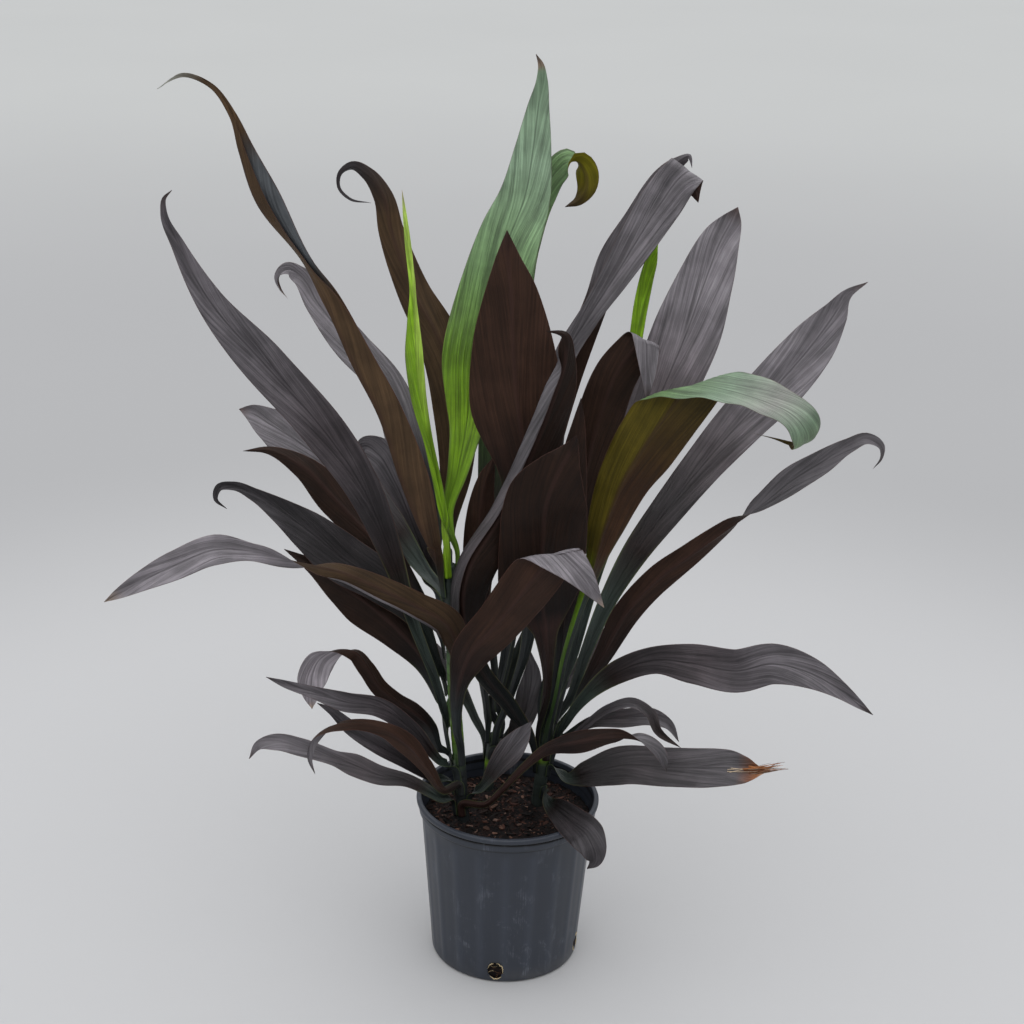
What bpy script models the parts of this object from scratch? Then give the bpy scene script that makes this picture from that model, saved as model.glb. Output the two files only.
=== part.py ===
"""Ti plant in its nursery pot: a plastic pot, its soil, three canes and one node for each leaf.

Metres, +Z up. The origin is the middle of the pot's foot, on the surface it stands on.
The leaves' routes are given as they are seen from one point in front of the plant, EYE: a pixel of
that view, how far behind the pot's axis the leaf passes there, the half width of the blade and how
far the blade is turned. seen_at() turns a pixel and a depth into a point of the model.
"""
import math

import bmesh
import bpy
import numpy as np
from mathutils import Vector

MM = 0.001

# Pot, a ten inch nursery pot
RIM_RADIUS = 127 * MM
FOOT_RADIUS = 103 * MM
POT_HEIGHT = 240 * MM
WALL = 2.0 * MM
LIP_HEIGHT = 8 * MM
LIP_OVERHANG = 3.5 * MM
COLLAR_HEIGHT = 13 * MM
COLLAR_STEP = 1.5 * MM
GROOVE = 2 * MM
FOOT_ROUNDING = 5 * MM
POT_STEPS = 44
DRAIN_WIDTH = 22 * MM
DRAIN_TALL = 27 * MM
DRAIN_MIDDLE = 19 * MM
DRAIN_ANGLES = (-96, -14, 75, 165)

# Soil, a little below the rim
SOIL_LEVEL = 207 * MM
SOIL_CROWN = 7 * MM
SOIL_LUMP = 1.5 * MM
SOIL_RINGS = 7
SOIL_STEPS = 32

# Everything that touches keeps this much air
CLEARANCE = 0.3 * MM

# The viewing point, in front of the plant and above it
FRAME_PIXELS = 1024
FOCAL_PIXELS = 2000
EYE = Vector((-0.004, -2.452, 1.623))
LOOK_DOWN = math.radians(21.4)
LEAN = math.radians(1.45)

# Leaves
BLADE = 1.0 * MM
ROW_PITCH = 38 * MM
FEWEST_ROWS = 8
STATION_PULL = 0.7
MOST_ROWS = 17
BROAD = 21 * MM
SHEATH_HALF = 5.5 * MM
SHEATH_RISE = 22 * MM
SHEATH_SHARE = 0.3
SHEATH_LEAN = 0.12
CHANNEL_HALF = 11 * MM
CHANNEL_FOLD = 45
FLAT_HALF = 5 * MM

# Canes: radius and the points of the middle line from below the soil to the crown, millimetres
CANES = {
    "cane_left": (9.0, [(-52, -22, 120), (-60, -24, 206), (-76, -18, 400), (-86, -12, 590)]),
    "cane_right": (9.5, [(36, 26, 120), (42, 24, 206), (50, 22, 300), (53, 23, 345)]),
    "cane_back": (8.5, [(-31, 64, 120), (-29, 66, 206), (-25, 68, 260), (-22, 69, 296)]),
}

# Each leaf: its cane, the height of its base and the side of the cane that it grows on (0 is +X and
# 90 is away from the viewer), how deep it is folded along the midrib, the height and the number of its
# waves, and its stations from stalk to tip. A station is pixel across, pixel down, depth in
# millimetres, half width in millimetres and turn in degrees (0 shows the upper face, 180 the back).
LEAVES = {
    "leaf_tall_twisted": ("cane_left", 545, 215, 16, (0.06, 2.0), [
        (434, 548, -38, 10, 180), (412, 472, -52, 19, 180), (389, 410, -62, 16, 180),
        (363, 361, -72, 15, 185), (334, 304, -82, 12, 200), (307, 262, -90, 11, 245),
        (268, 200, -98, 17, 212), (246, 150, -104, 10, 205), (232, 114, -108, 4.5, 200),
        (210, 85, -112, 3, 195), (183, 75, -114, 2.5, 190), (157, 89, -116, 0.8, 190)]),
    "leaf_left_upright": ("cane_left", 305, 190, 18, (0.05, 2.0), [
        (439, 692, -62, 6, 0), (413, 621, -84, 8, 0), (388, 546, -75, 16, 0), (359, 481, -98, 23, 0),
        (321, 427, -104, 27, 0), (266, 366, -112, 27, 0), (209, 300, -118, 17, 0),
        (179, 246, -120, 8.5, 5), (164, 212, -118, 4, 10), (164, 199, -116, 2.5, 10),
        (172, 190, -114, 0.8, 10)]),
    "leaf_left_curled_tip": ("cane_left", 570, 190, 14, (0.05, 2.0), [
        (432, 520, 20, 11, 0), (416, 450, 50, 19, 0), (386, 382, 78, 22, 0), (352, 346, 92, 23, 0),
        (318, 303, 104, 17, 0), (299, 275, 108, 12, 0), (287, 270, 106, 9, -20), (279, 277, 102, 6, -60),
        (281, 288, 98, 4, -80), (288, 299, 94, 0.8, -80)]),
    "leaf_hooked": ("cane_left", 575, 95, 16, (0.05, 2.0), [
        (447, 530, 26, 11, 180), (456, 470, 62, 22, 180), (454, 400, 92, 30, 180),
        (439, 340, 118, 28, 180), (413, 290, 140, 22, 180), (391, 230, 158, 17, 180),
        (383, 196, 164, 13, 180), (368, 175, 164, 9, 190), (352, 167, 158, 6, 210),
        (341, 174, 152, 4, 225), (340, 187, 148, 3.5, 235), (350, 198, 144, 3, 235),
        (371, 203, 138, 0.8, 235)]),
    "leaf_young_yellow": ("cane_left", 575, 262, 30, (0.0, 1.0), [
        (441, 500, -30, 6, 5), (430, 447, -30, 6, 5), (420, 400, -28, 10, 10), (416, 358, -26, 12, 15),
        (414, 322, -22, 8, 10), (413, 289, -18, 4, 10), (409, 250, -14, 4, 10), (405, 215, -10, 2.5, 10),
        (402, 190, -6, 0.8, 10)]),
    "leaf_tall_green": ("cane_left", 580, 20, 14, (0.05, 2.0), [
        (448, 516, 8, 7, 0), (458, 470, 18, 14, 0), (466, 428, 32, 22, 0), (469, 400, 42, 31, 0),
        (474, 357, 58, 42, 0), (485, 318, 74, 45, 0), (497, 278, 88, 44, 0), (510, 236, 102, 40, 0),
        (524, 200, 112, 34, 0), (533, 150, 122, 24, 0), (538, 110, 128, 15, 0), (542, 78, 130, 7, 0),
        (541, 65, 129, 4, 0), (536, 54, 128, 0.8, 0)]),
    "leaf_green_curled_tip": ("cane_back", 294, 60, 12, (0.03, 1.5), [
        (492, 712, 78, 5, 0), (495, 678, 84, 5, 0), (491, 640, 90, 6, 0), (485, 598, 98, 8, 0),
        (490, 530, 120, 17, 0), (502, 400, 176, 30, 0), (508, 310, 190, 31, 0), (520, 242, 196, 28, 0),
        (542, 196, 196, 19, 5), (556, 174, 192, 14, 20), (569, 165, 188, 12, 45), (580, 167, 182, 11, 75),
        (586, 181, 176, 10, 100), (580, 198, 172, 6, 110), (564, 207, 168, 0.8, 110)]),
    "leaf_bright_green": ("cane_right", 305, 120, 24, (0.0, 1.0), [
        (566, 640, 75, 7, 0), (590, 500, 124, 9, 0), (619, 420, 156, 9, 0), (634, 350, 178, 9, 0),
        (642, 300, 198, 10, 0), (650, 266, 206, 9, 0), (658, 244, 210, 0.8, 0)]),
    "leaf_centre_broad": ("cane_back", 284, 285, 12, (0.04, 1.5), [
        (507, 706, 44, 5, 180), (516, 680, 34, 6, 180), (525, 652, 20, 8, 180), (531, 600, -2, 13, 180),
        (532, 540, -12, 23, 180), (527, 469, -12, 38, 180), (517, 402, -6, 61, 180),
        (513, 345, 2, 52, 180), (511, 292, 12, 34, 180), (508, 258, 18, 16, 180),
        (507, 230, 22, 0.8, 180)]),
    "leaf_centre_folded": ("cane_right", 265, 200, 26, (0.03, 1.5), [
        (512, 710, -8, 11, 185), (479, 667, -40, 12, 185), (464, 622, -46, 23, 180),
        (473, 570, -70, 28, 180), (504, 512, -66, 32, 175), (534, 450, -58, 33, 168),
        (555, 395, -54, 29, 163), (566, 357, -52, 15, 160), (565, 335, -52, 5, 170),
        (546, 331, -52, 0.8, 180)]),
    "leaf_centre_lower": ("cane_right", 300, 200, 10, (0.04, 1.5), [
        (547, 688, -16, 6, 180), (546, 640, -44, 11, 180), (544, 580, -72, 46, 180),
        (543, 540, -86, 56, 180), (547, 502, -96, 52, 180), (560, 470, -100, 30, 180),
        (570, 451, -100, 12, 180), (577, 435, -100, 0.8, 180)]),
    "leaf_centre_strip": ("cane_right", 330, 270, 12, (0.03, 1.0), [
        (561, 650, -10, 7, 180), (566, 570, -30, 22, 180), (570, 500, -70, 21, 180),
        (575, 450, -80, 14, 180), (579, 420, -80, 7, 180), (581, 398, -80, 0.8, 180)]),
    "leaf_back_arched": ("cane_right", 343, 60, 18, (0.03, 1.5), [
        (566, 620, 44, 8, 180), (580, 500, 60, 24, 180), (600, 420, 72, 31, 180), (617, 374, 78, 27, 180),
        (632, 346, 80, 20, 190), (648, 333, 78, 15, 225), (656, 347, 74, 15, 280),
        (656, 374, 70, 12, 315), (649, 397, 66, 9, 335), (636, 418, 63, 6, 345),
        (614, 435, 60, 0.8, 350)]),
    "leaf_right_folded_tip": ("cane_right", 343, 170, 14, (0.04, 2.0), [
        (555, 640, 70, 7, 0), (548, 540, 120, 14, 0), (552, 430, 150, 18, 0), (566, 354, 166, 15, 0),
        (588, 318, 172, 14, 0), (615, 279, 178, 17, 0), (641, 240, 182, 18, 0), (663, 205, 184, 20, -5),
        (680, 182, 182, 19, -30), (696, 181, 176, 16, -65), (702, 190, 170, 11, -85),
        (696, 202, 166, 7, -80), (685, 217, 164, 0.8, -75)]),
    "leaf_right_hidden": ("cane_back", 294, -10, 14, (0.04, 2.0), [
        (498, 700, 70, 5, 180), (504, 660, 78, 6, 180), (513, 610, 100, 9, 180), (540, 480, 160, 17, 180),
        (572, 365, 191, 19, 180), (598, 298, 209, 17, 180), (612, 258, 215, 18, 180),
        (636, 220, 219, 17, 180), (660, 182, 221, 15, 180), (676, 163, 217, 9, 200),
        (690, 156, 209, 4, 220), (692, 168, 205, 0.8, 220)]),
    "leaf_right_broad": ("cane_right", 343, -10, 12, (0.05, 2.0), [
        (575, 650, 42, 6.5, 0), (598, 560, 70, 12, 0), (628, 470, 98, 28, 0), (656, 405, 118, 42, 0),
        (685, 337, 134, 46, 0), (706, 279, 144, 37, 0), (721, 240, 150, 26, 0), (732, 220, 152, 14, 0),
        (738, 207, 154, 0.8, 0)]),
    "leaf_right_outer": ("cane_right", 314, 40, 12, (0.05, 2.5), [
        (569, 700, 40, 6, 0), (585, 655, 24, 8, 0), (608, 600, 20, 12, 0), (637, 550, 16, 18, 0),
        (667, 510, 12, 22, 0), (703, 465, 8, 26, 0), (740, 423, 4, 31, 0), (782, 380, 0, 34, 0),
        (812, 345, -4, 30, 0), (834, 315, -8, 18, 0), (847, 295, -10, 7, 5), (868, 282, -14, 0.8, 10)]),
    "leaf_olive_folded": ("cane_right", 305, 275, 14, (0.04, 1.5), [
        (556, 700, -4, 5.5, 180), (565, 656, -30, 6.5, 180), (577, 616, -42, 8, 180),
        (592, 572, -40, 13, 180), (606, 525, -52, 25, 180), (623, 482, -66, 34, 180),
        (645, 446, -80, 41, 178), (668, 420, -92, 38, 170), (690, 406, -100, 34, 150),
        (708, 396, -105, 27, 105), (734, 385, -112, 18, 50), (771, 391, -120, 20, 30),
        (797, 409, -122, 21, 15), (799, 436, -119, 16, 5), (783, 457, -115, 8, 0),
        (757, 456, -112, 0.8, 0)]),
    "leaf_right_long": ("cane_right", 304, 345, 14, (0.05, 2.0), [
        (572, 712, 6, 6, 180), (586, 684, -6, 8, 180), (603, 655, -16, 13, 180), (628, 611, -30, 18, 180),
        (657, 580, -42, 18, 178), (691, 555, -54, 15, 165), (728, 529, -66, 12, 130),
        (762, 505, -76, 13, 40), (793, 480, -84, 17, 10), (822, 462, -90, 15, 0), (848, 446, -94, 9.5, 0),
        (867, 439, -94, 7, 10), (880, 447, -92, 5, 40), (880, 459, -90, 3, 60),
        (873, 469, -90, 0.8, 60)]),
    "leaf_right_waved": ("cane_right", 275, 345, 12, (0.1, 2.5), [
        (570, 716, -10, 6, 0), (588, 694, -28, 9, 0), (622, 670, -50, 16, 0), (656, 660, -68, 18, 0),
        (695, 664, -92, 26, 0), (735, 671, -114, 28, 0), (775, 664, -134, 26, 0), (810, 673, -150, 20, 0),
        (840, 690, -162, 11, 0), (860, 705, -168, 5, 0), (873, 715, -172, 0.8, 0)]),
    "leaf_burnt_tip": ("cane_right", 262, 325, 12, (0.05, 1.5), [
        (568, 778, -16, 7, 0), (590, 773, -44, 18, 0), (625, 765, -66, 26, 0), (665, 767, -90, 26, 0),
        (700, 768, -110, 26, 0), (735, 768, -130, 20, 0), (760, 770, -142, 8, 0),
        (788, 769, -152, 0.8, 0)]),
    "leaf_short_curled": ("cane_left", 222, 265, 16, (0.0, 1.0), [
        (499, 795, -66, 6.5, 180), (526, 768, -86, 7.5, 180), (552, 749, -84, 9, 180),
        (584, 742, -92, 15, 178), (612, 738, -100, 11, 150), (640, 741, -106, 11, 60),
        (658, 752, -108, 9, 20), (667, 772, -108, 0.8, 10)]),
    "leaf_thin_arching": ("cane_right", 288, 285, 20, (0.0, 1.0), [
        (566, 742, -8, 4.5, 0), (584, 727, -18, 5, 0), (610, 708, -30, 6, 0), (634, 703, -40, 7, 0),
        (650, 713, -44, 7, 0), (658, 731, -44, 5.5, 0), (681, 748, -44, 0.8, 0)]),
    "leaf_small_right": ("cane_right", 278, 50, 14, (0.0, 1.0), [
        (568, 735, 18, 5, 0), (592, 722, 8, 8, 0), (625, 718, 0, 13, 0), (652, 717, -8, 12, 0),
        (668, 724, -14, 7, 0), (679, 742, -18, 0.8, 0)]),
    "leaf_over_rim": ("cane_right", 228, 300, 12, (0.05, 1.5), [
        (549, 803, -26, 8, 0), (559, 811, -62, 16, 0), (574, 824, -100, 22, 0), (587, 836, -130, 24, 0),
        (594, 850, -142, 17, 0), (595, 861, -142, 8, 0), (587, 869, -140, 0.8, 0)]),
    "leaf_left_level": ("cane_left", 372, 225, 14, (0.05, 2.0), [
        (456, 690, -46, 6.5, 180), (459, 656, -58, 12, 180), (447, 625, -76, 22, 180),
        (417, 607, -96, 19, 178), (384, 591, -112, 18, 172), (340, 572, -130, 14, 155),
        (296, 562, -146, 11, 70), (255, 552, -160, 11, 10), (214, 550, -170, 19, 0),
        (176, 565, -178, 18, 0), (140, 582, -184, 12, 0), (118, 594, -188, 6, 0),
        (104, 602, -190, 0.8, 0)]),
    "leaf_left_hook": ("cane_left", 400, 165, 14, (0.05, 1.5), [
        (438, 664, -10, 6, 0), (418, 620, 4, 14, 0), (383, 584, 20, 28, 0), (342, 558, 34, 33, 0),
        (310, 532, 46, 27, 0), (281, 511, 54, 17, 0), (255, 495, 60, 9, 0), (234, 486, 62, 6, 0),
        (219, 488, 62, 5, -10), (216, 499, 61, 3, -20), (227, 509, 60, 0.8, -20)]),
    "leaf_left_back_upper": ("cane_left", 510, 120, 12, (0.06, 1.5), [
        (424, 570, 45, 10, 0), (384, 518, 85, 24, 0), (340, 475, 124, 36, 0), (300, 443, 136, 36, 0),
        (268, 423, 141, 22, 0), (252, 413, 145, 12, 0), (239, 409, 147, 0.8, 0)]),
    "leaf_left_back_lower": ("cane_left", 455, 172, 12, (0.05, 1.5), [
        (424, 606, 12, 8, 180), (384, 552, 46, 20, 180), (336, 500, 76, 24, 180), (303, 467, 90, 16, 180),
        (266, 450, 100, 5, 180), (243, 451, 102, 0.8, 180)]),
    "leaf_left_shadow": ("cane_left", 352, 150, 16, (0.04, 1.5), [
        (440, 700, -22, 6, 180), (425, 662, -14, 16, 180), (398, 630, 0, 27, 180),
        (367, 603, 12, 34, 180), (341, 585, 20, 25, 180), (313, 566, 28, 11, 180),
        (284, 549, 34, 0.8, 180)]),
    "leaf_left_inner": ("cane_left", 504, 210, 12, (0.05, 1.5), [
        (432, 580, 42, 12, 0), (413, 525, 92, 24, 0), (394, 480, 120, 29, 0), (378, 454, 134, 24, 0),
        (366, 446, 142, 14, 10), (356, 452, 148, 0.8, 20)]),
    "leaf_behind_centre": ("cane_back", 286, 215, 14, (0.03, 1.0), [
        (487, 712, 58, 5, 180), (482, 676, 52, 6, 180), (477, 640, 46, 8, 180), (477, 600, 30, 16, 180),
        (479, 560, 16, 22, 180), (480, 520, 10, 19, 180), (486, 480, 6, 11, 180),
        (495, 455, 6, 0.8, 180)]),
    "leaf_front_centre": ("cane_left", 300, 292, 18, (0.06, 1.5), [
        (457, 728, -60, 6.5, 180), (458, 690, -80, 12, 180), (470, 655, -98, 26, 180),
        (501, 621, -116, 27, 175), (528, 583, -130, 30, 160), (553, 562, -140, 22, 115),
        (577, 559, -146, 20, 50), (592, 578, -147, 15, 15), (596, 611, -144, 0.8, 0)]),
    "leaf_short_folded": ("cane_left", 232, 335, 34, (0.0, 1.0), [
        (483, 786, -42, 6, 0), (498, 765, -40, 13, 0), (511, 749, -38, 18, 0), (522, 735, -36, 13, 0),
        (532, 721, -34, 0.8, 0)]),
    "leaf_back_short": ("cane_back", 262, 270, 14, (0.03, 1.0), [
        (508, 742, 52, 6, 0), (521, 722, 48, 15, 0), (529, 695, 46, 18, 0), (532, 672, 46, 12, 0),
        (531, 652, 46, 0.8, 0)]),
    "leaf_left_curled": ("cane_left", 295, 165, 20, (0.0, 1.0), [
        (439, 748, -34, 6, 180), (430, 728, -36, 10, 180), (413, 712, -40, 13, 178),
        (396, 701, -42, 12, 175), (380, 687, -45, 12, 170), (368, 668, -48, 12, 158),
        (355, 652, -50, 12, 130), (337, 650, -52, 15, 75), (320, 659, -54, 21, 30),
        (312, 676, -55, 20, 10), (311, 692, -55, 12, 0), (312, 709, -54, 0.8, 0)]),
    "leaf_low_left_upper": ("cane_left", 268, 250, 14, (0.04, 2.0), [
        (438, 759, -58, 6, 0), (411, 729, -68, 11, 0), (378, 707, -78, 13, 0), (345, 702, -88, 13, 0),
        (312, 692, -96, 8, 0), (285, 684, -102, 5, 0), (266, 677, -106, 0.8, 0)]),
    "leaf_low_left_middle": ("cane_left", 252, 180, 14, (0.04, 2.0), [
        (431, 777, -42, 6, 0), (404, 760, -52, 10, 0), (378, 745, -60, 12, 0), (351, 728, -68, 10, 0),
        (330, 710, -74, 5, 0), (317, 703, -78, 0.8, 0)]),
    "leaf_low_left_hook": ("cane_left", 254, 268, 16, (0.0, 1.0), [
        (444, 790, -68, 6, 180), (426, 766, -88, 10, 180), (408, 745, -100, 14, 178),
        (384, 729, -110, 10, 168), (350, 723, -120, 8, 150), (327, 728, -128, 8, 100),
        (312, 741, -132, 7, 50), (309, 757, -134, 4, 30), (315, 774, -134, 0.8, 20)]),
    "leaf_low_left_lowest": ("cane_left", 222, 195, 12, (0.05, 2.0), [
        (440, 797, -58, 7, 0), (406, 780, -76, 9, 0), (379, 775, -88, 13, 0), (354, 765, -96, 15, 0),
        (331, 757, -102, 10, 0), (300, 747, -108, 12, 0), (276, 742, -113, 11, 0), (259, 745, -116, 6, 0),
        (249, 759, -118, 0.8, 0)]),
    "leaf_rear_upper_left": ("cane_left", 495, 60, 12, (0.05, 2.0), [
        (427, 560, 76, 8, 0), (414, 505, 126, 14, 0), (401, 450, 182, 18, 0), (388, 404, 244, 16, 0),
        (377, 374, 290, 10, 0), (369, 352, 315, 0.8, 0)]),
    "leaf_rear_upper_centre": ("cane_back", 285, 140, 12, (0.04, 1.5), [
        (500, 690, 96, 6, 0), (516, 600, 150, 10, 0), (528, 500, 220, 26, 0), (532, 420, 280, 34, 0),
        (528, 365, 330, 26, 0), (521, 330, 360, 12, 0), (514, 305, 380, 0.8, 0)]),
    "leaf_rear_upper_right": ("cane_back", 258, 27, 12, (0.05, 2.0), [
        (504, 695, 105, 6, 0), (546, 600, 150, 12, 0), (600, 510, 210, 20, 0), (640, 450, 260, 26, 0),
        (668, 398, 300, 28, 0), (688, 350, 330, 20, 0), (702, 318, 354, 10, 0), (708, 298, 366, 0.8, 0)]),
    "leaf_rear_lower_left": ("cane_back", 256, 150, 12, (0.05, 1.5), [
        (474, 716, 96, 6, 0), (450, 672, 140, 12, 0), (412, 638, 200, 18, 0), (384, 622, 260, 14, 0),
        (362, 612, 300, 0.8, 0)]),
    "leaf_rear_lower_centre": ("cane_back", 236, 95, 12, (0.04, 1.0), [
        (508, 735, 110, 6, 0), (522, 716, 170, 12, 0), (529, 698, 240, 14, 0), (531, 682, 290, 0.8, 0)]),
    "leaf_rear_lower_right": ("cane_back", 226, 20, 12, (0.04, 1.5), [
        (522, 716, 92, 6, 0), (556, 690, 130, 9, 0), (596, 650, 180, 12, 0), (628, 612, 230, 12, 0),
        (652, 588, 270, 8, 0), (668, 572, 300, 0.8, 0)]),
}

# The pale and dark colours of the pieces, with roughness
PURPLE_LEAF = ((0.050, 0.036, 0.040), 0.42)
GREEN_LEAF = ((0.120, 0.240, 0.070), 0.45)
YELLOW_LEAF = ((0.260, 0.420, 0.030), 0.45)
CANE_GREEN = ((0.050, 0.080, 0.045), 0.50)
POT_PLASTIC = ((0.035, 0.040, 0.050), 0.48)
SOIL_BARK = ((0.035, 0.018, 0.012), 0.90)
GREEN_LEAVES = {"leaf_tall_green", "leaf_green_curled_tip"}
YELLOW_LEAVES = {"leaf_young_yellow", "leaf_bright_green"}

COLLECTION = "ti_plant"
CUTTERS = "cutters"


def clear_scene():
    """Remove every object that the file opens with."""
    for item in list(bpy.data.objects):
        bpy.data.objects.remove(item, do_unlink=True)


def make_collection(name):
    """Add a collection to the scene."""
    group = bpy.data.collections.new(name)
    bpy.context.scene.collection.children.link(group)
    return group


def make_material(name, finish):
    """A Principled material of one colour and roughness."""
    colour, roughness = finish
    material = bpy.data.materials.new(name)
    material.use_nodes = True
    shader = material.node_tree.nodes["Principled BSDF"]
    shader.inputs["Base Color"].default_value = (*colour, 1.0)
    shader.inputs["Roughness"].default_value = roughness
    shader.inputs["Metallic"].default_value = 0.0
    return material


def add_object(name, data, group, finish=None):
    """Link a mesh or curve as a named object with its own material."""
    item = bpy.data.objects.new(name, data)
    group.objects.link(item)
    if finish:
        data.materials.append(make_material(name + "_finish", finish))
    return item


# Viewing geometry
def view_axes():
    """The unit vectors that point right, up and forward in the view from EYE."""
    forward = Vector((0.0, math.cos(LOOK_DOWN), -math.sin(LOOK_DOWN)))
    level = Vector((1.0, 0.0, 0.0))
    upright = Vector((0.0, math.sin(LOOK_DOWN), math.cos(LOOK_DOWN)))
    right = level * math.cos(LEAN) + upright * math.sin(LEAN)
    up = upright * math.cos(LEAN) - level * math.sin(LEAN)
    return right, up, forward


def seen_at(across, down, depth):
    """The point that the view shows at a pixel, on the upright plane a depth behind the pot's axis."""
    right, up, forward = view_axes()
    half_frame = FRAME_PIXELS / 2
    ray = forward + right * ((across - half_frame) / FOCAL_PIXELS) + up * ((half_frame - down) / FOCAL_PIXELS)
    return EYE + ray * ((depth - EYE.y) / ray.y)


# Leaves
def flowing(knots, values, at):
    """Read a smooth curve through values, which never swings past two neighbours' range."""
    knots = np.asarray(knots, dtype=float)
    values = np.asarray(values, dtype=float)
    gaps = np.diff(knots)
    slopes = np.diff(values) / gaps
    tangents = np.zeros_like(values)
    tangents[0] = slopes[0]
    tangents[-1] = slopes[-1]
    for i in range(1, len(knots) - 1):
        if slopes[i - 1] * slopes[i] > 0:
            before = 2 * gaps[i] + gaps[i - 1]
            after = gaps[i] + 2 * gaps[i - 1]
            tangents[i] = (before + after) / (before / slopes[i - 1] + after / slopes[i])
    return hermite(knots, values, tangents, at)


def rounded(knots, points, at):
    """Read a smooth curve through points, with the slope at each one taken across its neighbours."""
    knots = np.asarray(knots, dtype=float)
    points = np.asarray(points, dtype=float)
    gaps = np.diff(knots)[:, None]
    slopes = np.diff(points, axis=0) / gaps
    tangents = np.empty_like(points)
    tangents[0] = slopes[0]
    tangents[-1] = slopes[-1]
    tangents[1:-1] = (slopes[:-1] * gaps[1:] + slopes[1:] * gaps[:-1]) / (gaps[1:] + gaps[:-1])
    return hermite(knots, points, tangents, at)


def hermite(knots, values, tangents, at):
    """Cubic pieces through values with the given tangents."""
    at = np.asarray(at, dtype=float)
    piece = np.clip(np.searchsorted(knots, at, side="right") - 1, 0, len(knots) - 2)
    gap = knots[piece + 1] - knots[piece]
    t = (at - knots[piece]) / gap
    if values.ndim == 2:
        gap = gap[:, None]
        t = t[:, None]
    start = values[piece] * (2 * t ** 3 - 3 * t ** 2 + 1)
    start_slope = tangents[piece] * gap * (t ** 3 - 2 * t ** 2 + t)
    end = values[piece + 1] * (3 * t ** 2 - 2 * t ** 3)
    end_slope = tangents[piece + 1] * gap * (t ** 3 - t ** 2)
    return start + start_slope + end + end_slope


def cane_at(cane, height):
    """The middle of a cane at a height, and its direction there."""
    radius, points = CANES[cane]
    for low, high in zip(points, points[1:]):
        if height <= high[2]:
            break
    share = (height - low[2]) / (high[2] - low[2])
    low = Vector(low) * MM
    high = Vector(high) * MM
    return low.lerp(high, share), (high - low).normalized(), radius * MM


def leaf_frame(point, tangent):
    """The unit vectors across the view and towards the viewer, both square to a leaf's run."""
    to_eye = np.array(EYE) - point
    across = np.cross(tangent, to_eye)
    across /= np.linalg.norm(across)
    facing = np.cross(across, tangent)
    return across, facing


def leaf_route(leaf):
    """Points, half widths and turns of a leaf from its base on the cane to its tip."""
    cane, height, side, _, _, stations = leaf
    centre, axis, radius = cane_at(cane, height)
    side = math.radians(side)
    outward = Vector((math.cos(side), math.sin(side), 0.0))
    outward = (outward - axis * outward.dot(axis)).normalized()
    base = centre + outward * (radius + CLEARANCE + BLADE / 2)
    seen = [seen_at(across, down, depth * MM) for across, down, depth, _, _ in stations]
    rise = min(SHEATH_RISE, SHEATH_SHARE * (seen[0] - base).length)
    points = [base, base + axis * rise + outward * (rise * SHEATH_LEAN)] + seen
    halves = [SHEATH_HALF, SHEATH_HALF] + [half * MM for _, _, _, half, _ in stations]
    across, facing = leaf_frame(np.array(base), np.array(axis))
    inward = -np.array(outward)
    base_turn = math.degrees(math.atan2(-inward @ across, inward @ facing))
    first_turn = stations[0][4]
    base_turn += 360 * round((first_turn - base_turn) / 360)
    turns = [base_turn, base_turn] + [turn for _, _, _, _, turn in stations]
    return np.array(points), np.array(halves), np.array(turns)


def leaf_surface(leaf, rows, columns):
    """A grid of points over the leaf's middle surface: rows along it and columns across it."""
    points, halves, turns = leaf_route(leaf)
    _, _, _, fold, (wave_height, waves), _ = leaf
    knots = np.concatenate([[0.0], np.cumsum(np.linalg.norm(np.diff(points, axis=0), axis=1))])
    length = knots[-1]
    share = np.linspace(0.0, 1.0, rows + 1)
    by_station = np.interp(share * (len(knots) - 1), np.arange(len(knots)), knots)
    run = (1 - STATION_PULL) * share * length + STATION_PULL * by_station
    middle = rounded(knots, points, run)
    step = length / 400
    ahead = rounded(knots, points, np.minimum(run + step, length))
    behind = rounded(knots, points, np.maximum(run - step, 0.0))
    half = flowing(knots, halves, run)
    turn = np.radians(flowing(knots, turns, run))
    grid = np.empty((rows + 1, columns + 1, 3))
    for i in range(rows + 1):
        tangent = ahead[i] - behind[i]
        tangent /= np.linalg.norm(tangent)
        across, facing = leaf_frame(middle[i], tangent)
        sideways = across * math.cos(turn[i]) + facing * math.sin(turn[i])
        upper = facing * math.cos(turn[i]) - across * math.sin(turn[i])
        opening = min(run[i] / (3 * SHEATH_RISE), 1.0)
        narrow = max(0.0, 1.0 - half[i] / (2 * CHANNEL_HALF))
        opening *= min(half[i] / FLAT_HALF, 1.0)
        tilt = math.tan(math.radians(fold + (CHANNEL_FOLD - fold) * narrow)) * opening
        swing = math.sin(2 * math.pi * waves * run[i] / length)
        for j in range(columns + 1):
            u = 2 * j / columns - 1
            lift = half[i] * (abs(u) * tilt + wave_height * swing * u * abs(u) * opening)
            grid[i, j] = middle[i] + sideways * (u * half[i]) + upper * lift
    return grid


def leaf_rows(leaf):
    """How many rows and columns a leaf's solid takes, from its length and its width."""
    points, halves, _ = leaf_route(leaf)
    length = np.linalg.norm(np.diff(points, axis=0), axis=1).sum()
    rows = int(min(MOST_ROWS, max(FEWEST_ROWS, round(length / ROW_PITCH))))
    columns = 4 if halves.max() > BROAD else 2
    return rows, columns


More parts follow.
